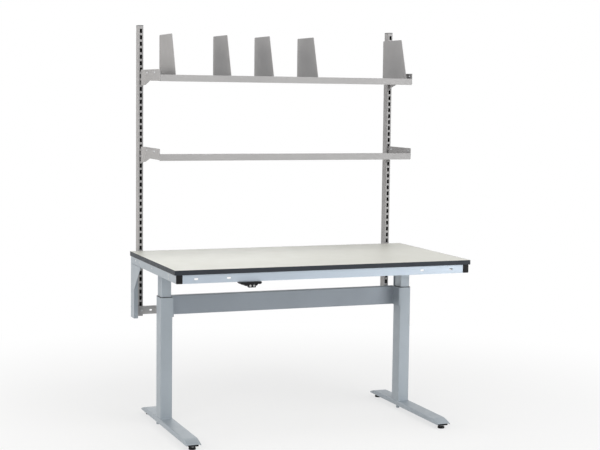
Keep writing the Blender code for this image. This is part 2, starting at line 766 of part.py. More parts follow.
def front_rail_mesh():
    """The rail with its face at y = 0 and its middle at z = 0."""
    half = TUBE_HEIGHT / 2
    path = [(RAIL_FLANGE, half), (0, half), (0, -half), (RAIL_FLANGE, -half)]
    reach = tube_outer_x - TUBE_WIDTH - GAP
    rail = prism("X", sheet(path, RAIL_SHEET), -reach, reach)
    hole = long_hole_outline(RAIL_HOLE_LENGTH, RAIL_HOLE_HEIGHT)
    holes = []
    for inset in (RAIL_OUTER_HOLE_INSET, RAIL_INNER_HOLE_INSET):
        for x in (inset - reach, reach - inset):
            holes.append(prism("Y", moved(hole, x, 0), -CUT, RAIL_SHEET + CUT))
    return cut(rail, *holes)


def rear_bracket_mesh(side):
    """A bracket in the table's own Y and Z, with its outer face at x = 0."""
    front = bracket_rear_y - BRACKET_DEPTH
    top = frame_bottom - GAP
    gusset_front = front - GUSSET_RUN
    behind_tube = tube_end_y + GAP
    web = [
        (front, bracket_bottom),
        (bracket_rear_y, bracket_bottom),
        (bracket_rear_y, frame_top),
        (behind_tube, frame_top),
        (behind_tube, top),
        (gusset_front, top),
        (gusset_front, top - GUSSET_TIP),
        (front, top - GUSSET_DROP),
    ]

    def span(depth):
        return sorted((0, -side * depth))

    mesh = prism("X", web, *span(BRACKET_SHEET))
    across = span(BRACKET_WIDTH)
    front_flange = box(*across, front, front + BRACKET_SHEET, bracket_bottom, top - BRACKET_SHEET / 2)
    rear_flange = box(*across, bracket_rear_y - BRACKET_SHEET, bracket_rear_y, bracket_bottom, frame_top)
    top_flange = box(*span(TUBE_WIDTH), gusset_front, tube_end_y, top - BRACKET_SHEET, top)
    return added(mesh, front_flange, rear_flange, top_flange)


def cross_rail_mesh(with_holes):
    """A channel with its face at y = 0 and its lower edge at z = 0."""
    depth = upright_face_y - GAP - (bracket_rear_y + GAP)
    path = [(depth, CROSS_HEIGHT), (0, CROSS_HEIGHT), (0, 0), (depth, 0)]
    reach = tube_outer_x - CROSS_INSET
    rail = prism("X", sheet(path, CROSS_SHEET), -reach, reach)
    if not with_holes:
        return rail
    hole = long_hole_outline(CROSS_HOLE_LENGTH, CROSS_HOLE_HEIGHT)
    holes = []
    for x in (CROSS_HOLE_INSET - reach, reach - CROSS_HOLE_INSET):
        holes.append(prism("Y", moved(hole, x, CROSS_HEIGHT / 2), -CUT, CROSS_SHEET + CUT))
    return cut(rail, *holes)


def upright_mesh():
    """The slotted tube with its face at y = 0 and its lower end at z = 0."""
    middle = UPRIGHT_DEPTH / 2
    outer = moved(rounded_box_outline(UPRIGHT_WIDTH, UPRIGHT_DEPTH, UPRIGHT_CORNER), 0, middle)
    wall = 2 * UPRIGHT_WALL
    bore_corner = inner_radius(UPRIGHT_CORNER, UPRIGHT_WALL)
    bore = rounded_box_outline(UPRIGHT_WIDTH - wall, UPRIGHT_DEPTH - wall, bore_corner)
    inner = moved(bore, 0, middle)
    body = tube("Z", outer, inner, 0, UPRIGHT_LENGTH)
    half = SLOT_WIDTH / 2
    slots = []
    for index in range(slot_count):
        z = slot_z(index) - upright_bottom
        ends = (z - SLOT_HEIGHT / 2, z + SLOT_HEIGHT / 2)
        slots.append(box(-half, half, -CUT, UPRIGHT_WALL + CUT, *ends))
    return cut(body, *slots)


def upright_cap_mesh():
    """The cap on the upright's top edge, with that edge at height zero."""
    middle = UPRIGHT_DEPTH / 2
    plate = moved(rounded_box_outline(UPRIGHT_WIDTH, UPRIGHT_DEPTH, UPRIGHT_CORNER), 0, middle)
    fit = 2 * (UPRIGHT_WALL + GAP)
    plug_corner = inner_radius(UPRIGHT_CORNER, UPRIGHT_WALL)
    plug = moved(rounded_box_outline(UPRIGHT_WIDTH - fit, UPRIGHT_DEPTH - fit, plug_corner), 0, middle)
    top = GAP + UPRIGHT_CAP_THICKNESS
    return loft("Z", [(plug, -UPRIGHT_CAP_PLUG), (plug, GAP), (plate, GAP), (plate, top)])


def shelf_mesh():
    """The tray with its lip's face at y = 0 and its lip's top at z = 0."""
    rear = SHELF_FRONT - SHELF_REAR_GAP
    path = [
        (LIP_DEPTH, -LIP_HEIGHT),
        (0, -LIP_HEIGHT),
        (0, 0),
        (LIP_DEPTH, 0),
        (LIP_DEPTH, -LIP_RISE),
        (rear, -LIP_RISE),
        (rear, -LIP_RISE - SHELF_REAR_FLANGE),
    ]
    half = shelf_width / 2
    tray = prism("X", sheet(path[::-1], SHELF_SHEET), -half, half)
    flange_front = LIP_DEPTH + SHELF_SIDE_MARGIN
    flange_rear = rear - SHELF_SIDE_MARGIN
    low = -LIP_RISE - SHELF_SIDE_FLANGE
    for side in (-1, 1):
        xs = sorted((side * half, side * (half - SHELF_SHEET)))
        flange = box(*xs, flange_front, flange_rear, low, -LIP_RISE - SHELF_SHEET / 2)
        tray = added(tray, flange)
    return tray


def shelf_bracket_mesh(side):
    """An end bracket, with the lip's front at y = 0, its top at z = 0 and the arm's inner face at x = 0."""
    face = SHELF_FRONT - GAP
    low = ARM_ABOVE_LIP_BOTTOM - LIP_HEIGHT
    heel = low - ARM_GUSSET_DROP
    near = upright_x - arm_inner_x - ARM_SHEET / 2
    far = near + ARM_SHEET
    joggle_rear = face - ARM_REAR_FLAT
    joggle_front = joggle_rear - ARM_JOGGLE_RUN
    path = [(0, GAP), (0, joggle_front), (side * near, joggle_rear), (side * near, face)]
    if side > 0:
        path.reverse()
    arm = prism("Z", sheet(path, ARM_SHEET), heel - CUT, ARM_RISE)
    under = [
        (-CUT, low),
        (face - ARM_GUSSET_RUN, low),
        (face - ARM_HEEL, heel),
        (face + CUT, heel),
        (face + CUT, heel - 2 * CUT),
        (-CUT, heel - 2 * CUT),
    ]
    mesh = cut(arm, prism("X", under, *sorted((-side * CUT, side * (far + CUT)))))
    neck_low_in_slot = -SLOT_HEIGHT / 2 + GAP
    tip_front = SHELF_FRONT + UPRIGHT_WALL + GAP
    tip_rear = tip_front + HOOK_TIP
    root = face - ARM_REAR_FLAT / 2
    for index in range(2):
        slot = -SHELF_ABOVE_SLOT - index * SLOT_PITCH
        low_edge = slot + neck_low_in_slot
        high_edge = low_edge + HOOK_NECK
        hook = [
            (root, low_edge),
            (tip_front, low_edge),
            (tip_front, low_edge - HOOK_DROP),
            (tip_rear, low_edge - HOOK_DROP),
            (tip_rear, high_edge),
            (root, high_edge),
        ]
        mesh = added(mesh, prism("X", hook, *sorted((side * near, side * far))))
    return mesh


def divider_mesh():
    """A divider, with the lip's front at y = 0, its top at z = 0 and the plate's left face at x = 0."""
    tray = -LIP_RISE + GAP
    over_lip = GAP
    behind_lip = LIP_DEPTH + GAP
    rear = SHELF_FRONT - SHELF_REAR_GAP - DIVIDER_REAR_INSET
    closed = [
        (behind_lip, tray),
        (behind_lip, over_lip),
        (DIVIDER_FRONT_INSET, over_lip),
        (DIVIDER_FRONT_INSET + DIVIDER_TOP_SETBACK, DIVIDER_RISE),
        (rear, DIVIDER_RISE),
        (rear, tray),
    ]
    upper = rounded_path(closed[2:], DIVIDER_CORNER)
    plate = prism("X", closed[:2] + [tuple(point) for point in upper], 0, DIVIDER_SHEET)
    foot_reach = DIVIDER_SHEET - DIVIDER_FOOT
    foot = box(foot_reach, DIVIDER_SHEET / 2, behind_lip, rear, tray, tray + DIVIDER_SHEET)
    return added(plate, foot)


def button_places():
    """The buttons' places across the handset, left one first."""
    half = BUTTON_SPACING / 2
    return (BUTTONS_OFF_MIDDLE - half, BUTTONS_OFF_MIDDLE + half)


def handset_mesh():
    """The handset with its front face at y = 0, its top at z = 0 and its middle at x = 0."""
    half = HANDSET_WIDTH / 2
    step = HANDSET_STEP_WIDTH / 2
    low = -HANDSET_HEIGHT
    rim_low = -HANDSET_RIM - HANDSET_CHAMFER
    step_low = rim_low - HANDSET_STEP_HEIGHT
    right = [
        (half, 0),
        (half, -HANDSET_RIM),
        (half - HANDSET_CHAMFER, rim_low),
        (step, rim_low),
        (step - HANDSET_CHAMFER, step_low),
    ]
    left = [(-x, z) for x, z in reversed(right)]
    body = prism("Y", right + left, 0, HANDSET_DEPTH)
    reach = BUTTON_SPACING / 2 + BUTTON_DIAMETER / 2 + HANDSET_NOSE_MARGIN
    nose_left = BUTTONS_OFF_MIDDLE - reach
    nose_right = BUTTONS_OFF_MIDDLE + reach
    chamfer = HANDSET_NOSE_CHAMFER
    nose = [
        (nose_left, rim_low),
        (nose_left, low + chamfer),
        (nose_left + chamfer, low),
        (nose_right - chamfer, low),
        (nose_right, low + chamfer),
        (nose_right, rim_low),
    ]
    body = added(body, prism("Y", nose, 0, HANDSET_NOSE_DEPTH))
    hole = circle_outline(BUTTON_DIAMETER / 2 + BUTTON_GAP)
    deep = BUTTON_DEPTH - BUTTON_PROUD + BUTTON_TRAVEL + BUTTON_GAP
    holes = []
    for x in button_places():
        holes.append(prism("Y", moved(hole, x, low + BUTTON_ABOVE_BOTTOM), -CUT, deep))
    return cut(body, *holes)


def button_mesh():
    """A round button with its pressed face at y = 0."""
    face = circle_outline(BUTTON_DIAMETER / 2)
    return prism("Y", face, 0, BUTTON_DEPTH)


def edge_band_mesh():
    """The strip around the board, with its lower edge at height zero."""
    outer = rounded_box_outline(TABLE_WIDTH, TABLE_DEPTH, BOARD_CORNER)
    band = 2 * EDGE_THICKNESS
    corner = inner_radius(BOARD_CORNER, EDGE_THICKNESS)
    inner = rounded_box_outline(TABLE_WIDTH - band, TABLE_DEPTH - band, corner)
    return tube("Z", outer, inner, 0, BOARD_THICKNESS)


def board_mesh():
    fit = 2 * (EDGE_THICKNESS + GAP)
    corner = inner_radius(BOARD_CORNER, EDGE_THICKNESS)
    outline = rounded_box_outline(TABLE_WIDTH - fit, TABLE_DEPTH - fit, corner)
    return prism("Z", outline, 0, BOARD_THICKNESS)


def add_columns(paint, lift):
    motor = motor_mesh()
    for name, side in (("left", -1), ("right", 1)):
        x = side * column_x
        column = inner_column_mesh(side)
        add(f"inner_column_{name}", column, paint["silver_paint"], lift, (x, column_y, inner_bottom))
        add(f"motor_{name}", motor, paint["steel"], lift, (x, column_y, motor_bottom))


def add_spindles(paint, lift):
    spindle = spindle_mesh()
    for name, side in (("left", -1), ("right", 1)):
        place = (side * column_x, column_y, spindle_bottom)
        add(f"spindle_{name}", spindle, paint["steel"], lift, place)


def add_frame(paint, lift):
    side_tube = side_tube_mesh()
    cap = tube_cap_mesh()
    middle = frame_top - TUBE_HEIGHT / 2
    for name, side in (("left", -1), ("right", 1)):
        x = side * tube_x
        add(f"side_tube_{name}", side_tube, paint["silver_paint"], lift, (x, tube_start_y, middle))
        add(f"tube_cap_{name}", cap, paint["black_plastic"], lift, (x, cap_y, middle))
        bracket = rear_bracket_mesh(side)
        add(f"rear_bracket_{name}", bracket, paint["silver_paint"], lift, (side * tube_outer_x, 0, 0))
    rail_place = (0, cap_y + RAIL_RECESS, middle)
    add("front_rail", front_rail_mesh(), paint["rail_silver"], lift, rail_place)
    cross_y = bracket_rear_y + GAP
    lower = cross_rail_mesh(with_holes=True)
    lower_z = bracket_bottom + LOWER_CROSS_RISE
    add("lower_cross_rail", lower, paint["grey_paint"], lift, (0, cross_y, lower_z))
    upper = cross_rail_mesh(with_holes=False)
    add("upper_cross_rail", upper, paint["grey_paint"], lift, (0, cross_y, frame_top - CROSS_HEIGHT))


def add_board(paint, lift):
    middle_y = front_y + TABLE_DEPTH / 2
    add("tabletop", board_mesh(), paint["laminate"], lift, (0, middle_y, board_bottom))
    add("edge_band", edge_band_mesh(), paint["edge_grey"], lift, (0, middle_y, board_bottom))


def add_controls(paint, lift):
    outline = rounded_box_outline(BOX_WIDTH, BOX_DEPTH, BOX_CORNER)
    box_y = rear_y - BOX_REAR_SETBACK - BOX_DEPTH / 2
    box_place = (BOX_FROM_MIDDLE, box_y, board_bottom - GAP - BOX_HEIGHT)
    add("control_box", prism("Z", outline, 0, BOX_HEIGHT), paint["black_plastic"], lift, box_place)
    handset_x = HANDSET_INSET - TABLE_WIDTH / 2
    handset_place = Vector((handset_x, front_y - HANDSET_REACH, frame_bottom - GAP))
    add("handset", handset_mesh(), paint["black_plastic"], lift, handset_place)
    button = button_mesh()
    for name, x in zip(("down_button", "up_button"), button_places()):
        from_handset = Vector((x, -BUTTON_PROUD, BUTTON_ABOVE_BOTTOM - HANDSET_HEIGHT))
        add(name, button, paint["button_grey"], lift, handset_place + from_handset)


def add_uprights(paint, lift):
    upright = upright_mesh()
    cap = upright_cap_mesh()
    for name, side in (("left", -1), ("right", 1)):
        x = side * upright_x
        foot = (x, upright_face_y, upright_bottom)
        add(f"upright_{name}", upright, paint["grey_paint"], lift, foot)
        top = (x, upright_face_y, upright_top)
        add(f"upright_cap_{name}", cap, paint["dark_plastic"], lift, top)


def add_shelves(paint, lift):
    tray = shelf_mesh()
    for shelf, slots_above in (("upper", UPPER_SHELF_SLOT_COUNT), ("lower", LOWER_SHELF_SLOT_COUNT)):
        z = lip_top(slots_above)
        add(f"{shelf}_shelf", tray, paint["grey_paint"], lift, (0, shelf_front_y, z))
        for name, side in (("left", -1), ("right", 1)):
            place = (side * arm_inner_x, shelf_front_y, z)
            arm = shelf_bracket_mesh(side)
            add(f"{shelf}_shelf_bracket_{name}", arm, paint["grey_paint"], lift, place)
    divider = divider_mesh()
    upper_lip = lip_top(UPPER_SHELF_SLOT_COUNT)
    for number, share in enumerate(DIVIDER_PLACE_SHARES, start=1):
        place = (shelf_width * share - shelf_width / 2, shelf_front_y, upper_lip)
        add(f"divider_{number}", divider, paint["grey_paint"], lift, place)


def main():
    for obj in list(bpy.data.objects):
        bpy.data.objects.remove(obj)
    paint = all_finishes()
    add_base(paint)
    add_levelling(paint)
    lift = carrier("lift_frame", (0, column_y, 0))
    add_columns(paint, lift)
    add_spindles(paint, lift)
    add_frame(paint, lift)
    add_board(paint, lift)
    add_controls(paint, lift)
    add_uprights(paint, lift)
    add_shelves(paint, lift)


main()
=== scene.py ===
import math
import random

import bmesh
import bpy
from mathutils import Matrix, Vector


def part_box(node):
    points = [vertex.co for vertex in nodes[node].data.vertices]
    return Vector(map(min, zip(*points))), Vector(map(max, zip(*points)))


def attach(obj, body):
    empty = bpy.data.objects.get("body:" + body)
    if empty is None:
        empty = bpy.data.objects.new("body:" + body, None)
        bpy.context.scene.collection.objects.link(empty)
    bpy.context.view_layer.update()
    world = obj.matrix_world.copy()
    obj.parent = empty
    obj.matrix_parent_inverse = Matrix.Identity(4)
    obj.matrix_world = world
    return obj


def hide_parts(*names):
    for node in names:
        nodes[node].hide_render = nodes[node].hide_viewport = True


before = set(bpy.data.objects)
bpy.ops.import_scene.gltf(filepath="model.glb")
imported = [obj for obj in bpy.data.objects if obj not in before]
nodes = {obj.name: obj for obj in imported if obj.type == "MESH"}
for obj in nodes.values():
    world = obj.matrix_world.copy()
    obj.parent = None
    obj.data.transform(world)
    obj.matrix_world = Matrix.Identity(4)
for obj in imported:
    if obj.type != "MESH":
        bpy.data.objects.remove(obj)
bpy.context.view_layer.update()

mm = 0.001
TURN = 2 * math.pi
random.seed(7)
SIDES = (("left", -1), ("right", 1))
ENDS = ("front", "rear")


# Materials

NOISE_LOW = 0.3  # most values of a noise texture lie between these two
NOISE_HIGH = 0.7
MIX_COLOUR_INPUTS = (6, 7)  # places of the colours among a mix node's sockets
MIX_COLOUR_OUTPUT = 2


class Finish:
    """A node material that is built up step by step around one Principled shader."""

    def __init__(self, name, metallic=0.0, specular=0.5):
        self.material = bpy.data.materials.new(name)
        self.material.use_nodes = True
        self.tree = self.material.node_tree
        self.shader = self.tree.nodes["Principled BSDF"]
        self.shader.inputs["Metallic"].default_value = metallic
        self.shader.inputs["Specular IOR Level"].default_value = specular
        self.place = self.tree.nodes.new("ShaderNodeTexCoord").outputs["Object"]
        self.normal = None

    def stretched(self, scale):
        """The object's own coordinates, scaled along each axis."""
        mapping = self.tree.nodes.new("ShaderNodeMapping")
        mapping.inputs["Scale"].default_value = scale
        self.tree.links.new(self.place, mapping.inputs["Vector"])
        return mapping.outputs["Vector"]

    def noise(self, scale, detail=3.0, rough=0.5, stretch=None):
        node = self.tree.nodes.new("ShaderNodeTexNoise")
        node.inputs["Scale"].default_value = scale
        node.inputs["Detail"].default_value = detail
        node.inputs["Roughness"].default_value = rough
        place = self.stretched(stretch) if stretch else self.place
        self.tree.links.new(place, node.inputs["Vector"])
        return node.outputs["Fac"]

    def cells(self, scale, feature="F1"):
        node = self.tree.nodes.new("ShaderNodeTexVoronoi")
        node.feature = feature
        node.inputs["Scale"].default_value = scale
        self.tree.links.new(self.place, node.inputs["Vector"])
        return node.outputs["Distance"]

    def ramp(self, source, low, high, low_value, high_value):
        """A number that goes from one value to the other as the source goes from low to high."""
        node = self.tree.nodes.new("ShaderNodeMapRange")
        node.inputs["From Min"].default_value = low
        node.inputs["From Max"].default_value = high
        node.inputs["To Min"].default_value = low_value
        node.inputs["To Max"].default_value = high_value
        self.tree.links.new(source, node.inputs["Value"])
        return node.outputs["Result"]

    def spread(self, noise, low_value, high_value):
        """A number that goes from one value to the other over most of a noise texture."""
        return self.ramp(noise, NOISE_LOW, NOISE_HIGH, low_value, high_value)

    def maths(self, operation, a, b):
        node = self.tree.nodes.new("ShaderNodeMath")
        node.operation = operation
        for socket, value in zip(node.inputs, (a, b)):
            if isinstance(value, (int, float)):
                socket.default_value = value
            else:
                self.tree.links.new(value, socket)
        return node.outputs["Value"]

    def within(self, x, half_x, y, half_y):
        """One inside two upright bores, this far to the left and right of the middle, and zero outside."""
        parts = self.tree.nodes.new("ShaderNodeSeparateXYZ")
        self.tree.links.new(self.place, parts.inputs[0])
        across = self.maths("ABSOLUTE", parts.outputs["X"], 0)
        off_x = self.maths("ABSOLUTE", self.maths("SUBTRACT", across, x), 0)
        off_y = self.maths("ABSOLUTE", self.maths("SUBTRACT", parts.outputs["Y"], y), 0)
        inside_x = self.maths("LESS_THAN", off_x, half_x)
        inside_y = self.maths("LESS_THAN", off_y, half_y)
        return self.maths("MULTIPLY", inside_x, inside_y)

    def mixed(self, share, a, b):
        """A colour between two others."""
        node = self.tree.nodes.new("ShaderNodeMix")
        node.data_type = "RGBA"
        for index, value in zip(MIX_COLOUR_INPUTS, (a, b)):
            if isinstance(value, tuple):
                node.inputs[index].default_value = (*value, 1)
            else:
                self.tree.links.new(value, node.inputs[index])
        self.tree.links.new(share, node.inputs[0])
        return node.outputs[MIX_COLOUR_OUTPUT]

    def clouded(self, colour, noise, dark, light):
        """A colour that goes from a dark to a light tint of itself over a noise texture."""
        return self.mixed(self.spread(noise, 0.0, 1.0), tint(colour, dark), tint(colour, light))

    def colour(self, source):
        self.tree.links.new(source, self.shader.inputs["Base Color"])

    def roughness(self, source):
        self.tree.links.new(source, self.shader.inputs["Roughness"])

    def bump(self, source, distance, strength):
        node = self.tree.nodes.new("ShaderNodeBump")
        node.inputs["Distance"].default_value = distance
        node.inputs["Strength"].default_value = strength
        self.tree.links.new(source, node.inputs["Height"])
        if self.normal is not None:
            self.tree.links.new(self.normal, node.inputs["Normal"])
        self.normal = node.outputs["Normal"]
        self.tree.links.new(self.normal, self.shader.inputs["Normal"])


def tint(colour, factor):
    return tuple(channel * factor for channel in colour)


# Painted shade: a near-black, matt colour put inside the uprights' bores, where the slots show only shade
BORE_PAINTED_SHADE = (0.016, 0.015, 0.015)
BORE_PAINTED_SHADE_ROUGHNESS = 0.95


def powder_coat(name, colour, rough, metallic=0.0, bore=None):
    """Sprayed and baked paint with a fine peel, specks and faint clouds. Inside a bore it gives way to a
    near-black, matt painted shade.
    """
    finish = Finish(name, metallic)
    base = finish.clouded(colour, finish.noise(5.0), 0.955, 1.035)
    specks = finish.ramp(finish.noise(1500.0, detail=2.0, rough=0.7), 0.35, 0.75, 0.0, 0.42)
    dust = finish.ramp(finish.noise(38.0, detail=4.0, rough=0.6), 0.55, 0.8, 0.0, 0.12)
    speckled = finish.mixed(specks, base, tint(colour, 1.25))
    coated = finish.mixed(dust, speckled, tint(colour, 0.82))
    gloss = finish.spread(finish.noise(24.0, detail=4.0), rough - 0.06, rough + 0.07)
    if bore:
        # Painted shade inside the bore: near-black and matt
        inside = finish.within(*bore)
        coated = finish.mixed(inside, coated, BORE_PAINTED_SHADE)
        gloss = finish.maths("MAXIMUM", gloss, finish.maths("MULTIPLY", inside, BORE_PAINTED_SHADE_ROUGHNESS))
    finish.colour(coated)
    finish.roughness(gloss)
    finish.bump(finish.noise(620.0, detail=2.0, rough=0.55), 0.16 * mm, 0.8)
    finish.bump(finish.noise(90.0, detail=2.0), 0.16 * mm, 0.25)
    return finish.material


def turned_brass():
    """Brass with fine lines along its height."""
    colour = (0.6, 0.45, 0.2)
    finish = Finish("turned_brass", metallic=1.0)
    lines = finish.noise(60.0, detail=4.0, rough=0.65, stretch=(1.0, 1.0, 0.06))
    base = finish.clouded(colour, finish.noise(6.0, detail=2.0), 0.95, 1.05)
    finish.colour(finish.mixed(finish.ramp(lines, 0.35, 0.7, 0.0, 0.22), base, tint(colour, 0.8)))
    finish.roughness(finish.spread(lines, 0.25, 0.42))
    finish.bump(lines, 0.08 * mm, 0.5)
    return finish.material


def moulded(name, colour, rough, grain=900.0, depth=0.09 * mm, specular=0.45):
    """Moulded plastic with a fine eroded grain and slightly shinier rubbed spots."""
    finish = Finish(name, specular=specular)
    grains = finish.cells(grain)
    base = finish.clouded(colour, finish.noise(12.0, detail=2.0), 0.88, 1.12)
    finish.colour(finish.mixed(finish.ramp(grains, 0.1, 0.7, 0.0, 0.35), base, tint(colour, 1.5)))
    rubbed = finish.noise(55.0, detail=4.0, rough=0.6)
    finish.roughness(finish.ramp(rubbed, 0.35, 0.7, rough + 0.06, rough - 0.1))
    finish.bump(grains, depth, 0.5)
    return finish.material


def drawn_rail():
    """Smooth pale silver: very fine lines along the rail's length and a soft, broad sheen."""
    colour = (0.46, 0.525, 0.60)
    finish = Finish("drawn_rail_silver", metallic=0.35)
    lines = finish.noise(1200.0, rough=0.6, stretch=(0.012, 1.0, 1.0))
    base = finish.clouded(colour, finish.noise(4.0), 0.97, 1.03)
    finish.colour(finish.mixed(finish.ramp(lines, 0.4, 0.7, 0.0, 0.30), base, tint(colour, 0.86)))
    finish.roughness(finish.spread(lines, 0.34, 0.42))
    finish.bump(lines, 0.02 * mm, 0.4)
    return finish.material


def pressed_laminate():
    """Pressed laminate: warm off-white, with a fine pearl texture and a faint mottle."""
    colour = (0.735, 0.735, 0.675)
    pearl = (0.64, 0.63, 0.565)
    finish = Finish("pressed_laminate")
    base = finish.clouded(colour, finish.noise(3.2, detail=4.0, rough=0.55), 0.975, 1.015)
    fine = finish.noise(420.0, rough=0.6)
    finish.colour(finish.mixed(finish.ramp(fine, 0.5, 0.8, 0.0, 0.4), base, pearl))
    finish.roughness(finish.spread(finish.noise(14.0, detail=5.0, rough=0.6), 0.38, 0.50))
    finish.bump(finish.cells(520.0, "SMOOTH_F1"), 0.09 * mm, 0.4)
    finish.bump(finish.noise(160.0), 0.06 * mm, 0.3)
    return finish.material


def zinc_plate():
    """Zinc-plated screws and nuts: bright, mottled, a little dull in places."""
    finish = Finish("bright_zinc", metallic=1.0)
    mottle = finish.noise(260.0, detail=4.0, rough=0.6)
    finish.colour(finish.clouded((0.56, 0.57, 0.58), mottle, 0.82, 1.12))
    finish.roughness(finish.spread(finish.noise(480.0), 0.22, 0.42))
    finish.bump(finish.noise(900.0, detail=2.0), 0.03 * mm, 0.5)
    return finish.material


BORE_INSET = 1.6 * mm  # from the uprights' outer faces, a little less than their walls


def upright_bore():
    """The middle and half size, across and in depth, of the space inside the uprights."""
    low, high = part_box("upright_right")
    half_x = (high[0] - low[0]) / 2 - BORE_INSET
    half_y = (high[1] - low[1]) / 2 - BORE_INSET
    return (low[0] + high[0]) / 2, half_x, (low[1] + high[1]) / 2, half_y


SILVER = (0.375, 0.418, 0.460)
# The columns' silver made darker: painted shade of the board over the crossbeam
BEAM_PAINTED_SHADE_SILVER = (0.315, 0.352, 0.400)
GREY = (0.405, 0.398, 0.400)
CHARCOAL = (0.030, 0.035, 0.043)
BLACK = (0.009, 0.009, 0.010)
DARK = (0.040, 0.042, 0.046)
PALE = (0.55, 0.55, 0.54)

# A finish for each material slot
looks = {
    "silver_paint": powder_coat("silver_powder_coat", SILVER, 0.42, 0.22),
    "grey_paint": powder_coat("grey_powder_coat", GREY, 0.5),
    "rail_silver": drawn_rail(),
    "laminate": pressed_laminate(),
    "edge_grey": moulded("charcoal_edge_strip", CHARCOAL, 0.48, grain=700.0, depth=0.05 * mm, specular=0.18),
    "black_plastic": moulded("black_moulded_plastic", BLACK, 0.44, specular=0.16),
    "dark_plastic": moulded("dark_moulded_plastic", DARK, 0.48, specular=0.25),
    "button_grey": moulded("pale_button_plastic", PALE, 0.4, grain=1400.0, depth=0.03 * mm),
    "steel": zinc_plate(),
    "brass": turned_brass(),
}
# The uprights' grey coat, with painted shade inside their bores
bore_shaded_coat = powder_coat("bore_shaded_grey_powder_coat", GREY, 0.5, bore=upright_bore())

# Nodes whose finish isn't that of their slot; the crossbeam's is a darker copy of the silver coat, which is
# painted shade
own_looks = {
    # Same silver paint as the columns, darker and less metallic: painted shade under the board
    "crossbeam": powder_coat("beam_painted_shade_powder_coat", BEAM_PAINTED_SHADE_SILVER, 0.46, 0.16),
    "upright_left": bore_shaded_coat,
    "upright_right": bore_shaded_coat,
}


def dress_nodes():
    """Gives every CAD node its procedural finish by the name of its material slot."""
    for name, obj in nodes.items():
        slot = obj.data.materials[0].name.split(".")[0]
        obj.data.materials.clear()
        obj.data.materials.append(own_looks.get(name, looks[slot]))
        for polygon in obj.data.polygons:
            polygon.use_smooth = True


dress_nodes()


# Camera

CAMERA_PLACE = (-2.4877, -6.3551, 1.6405)
CAMERA_YAW = math.radians(21.5515)  # to the right of +Y
CAMERA_PITCH = math.radians(-5.4244)
CAMERA_ROLL = math.radians(0.71995)
CAMERA_LENS = 82.796
SENSOR_WIDTH = 36


def place_camera():
    """A camera with the view of the photograph."""
    flat = math.cos(CAMERA_PITCH)
    ahead = Vector((math.sin(CAMERA_YAW) * flat, math.cos(CAMERA_YAW) * flat, math.sin(CAMERA_PITCH)))
    level = Vector((math.cos(CAMERA_YAW), -math.sin(CAMERA_YAW), 0))
    above = level.cross(ahead)
    right = level * math.cos(CAMERA_ROLL) + above * math.sin(CAMERA_ROLL)
    up = above * math.cos(CAMERA_ROLL) - level * math.sin(CAMERA_ROLL)
    data = bpy.data.cameras.new("camera")
    data.sensor_width = SENSOR_WIDTH
    data.lens = CAMERA_LENS
    camera = bpy.data.objects.new("camera", data)
    turn = Matrix((right, up, -ahead)).transposed().to_4x4()
    turn.translation = Vector(CAMERA_PLACE)
    camera.matrix_world = turn
    bpy.context.scene.collection.objects.link(camera)
    bpy.context.scene.camera = camera


# Floor and light

FLOOR_RADIUS = 60
WHITE_STARTS = 0.7  # from the middle of the table to where the floor starts to turn white
WHITE_ENDS = 3.0  # to where it is wholly white
WHITE_SHARE = 0.68  # of white before that


def seen_by(tree, rays):
    """One for these kinds of ray, and zero for the rest of the light."""
    path = tree.nodes.new("ShaderNodeLightPath")
    share = path.outputs[rays[0]]
    for ray in rays[1:]:
        either = tree.nodes.new("ShaderNodeMath")
        either.operation = "MAXIMUM"
        tree.links.new(share, either.inputs[0])
        tree.links.new(path.outputs[ray], either.inputs[1])
        share = either.outputs["Value"]
    return share


def pale_floor():
    """A matt pale material that turns into plain white some way from the table."""
    material = bpy.data.materials.new("pale_floor")
    material.use_nodes = True
    tree = material.node_tree
    shader = tree.nodes["Principled BSDF"]
    shader.inputs["Base Color"].default_value = (0.9, 0.9, 0.9, 1)
    shader.inputs["Roughness"].default_value = 0.9
    shader.inputs["Specular IOR Level"].default_value = 0.1
    glow = tree.nodes.new("ShaderNodeEmission")
    glow.inputs["Color"].default_value = (1, 1, 1, 1)
    glow.inputs["Strength"].default_value = 1.0
    place = tree.nodes.new("ShaderNodeTexCoord")
    distance = tree.nodes.new("ShaderNodeVectorMath")
    distance.operation = "LENGTH"
    fade = tree.nodes.new("ShaderNodeMapRange")
    fade.interpolation_type = "SMOOTHSTEP"
    fade.inputs["From Min"].default_value = WHITE_STARTS
    fade.inputs["From Max"].default_value = WHITE_ENDS
    fade.inputs["To Min"].default_value = WHITE_SHARE
    share = tree.nodes.new("ShaderNodeMath")
    share.operation = "MULTIPLY"
    mix = tree.nodes.new("ShaderNodeMixShader")
    link = tree.links.new
    link(place.outputs["Object"], distance.inputs[0])
    link(distance.outputs["Value"], fade.inputs["Value"])
    link(fade.outputs["Result"], share.inputs[0])
    link(seen_by(tree, ("Is Camera Ray", "Is Glossy Ray")), share.inputs[1])
    link(share.outputs["Value"], mix.inputs[0])
    link(shader.outputs["BSDF"], mix.inputs[1])
    link(glow.outputs["Emission"], mix.inputs[2])
    link(mix.outputs["Shader"], tree.nodes["Material Output"].inputs["Surface"])
    return material


def add_floor():
    mesh = bpy.data.meshes.new("floor")
    bm = bmesh.new()
    bmesh.ops.create_circle(bm, cap_ends=True, segments=96, radius=FLOOR_RADIUS)
    bm.to_mesh(mesh)
    bm.free()
    floor = bpy.data.objects.new("floor", mesh)
    bpy.context.scene.collection.objects.link(floor)
    mesh.materials.append(pale_floor())


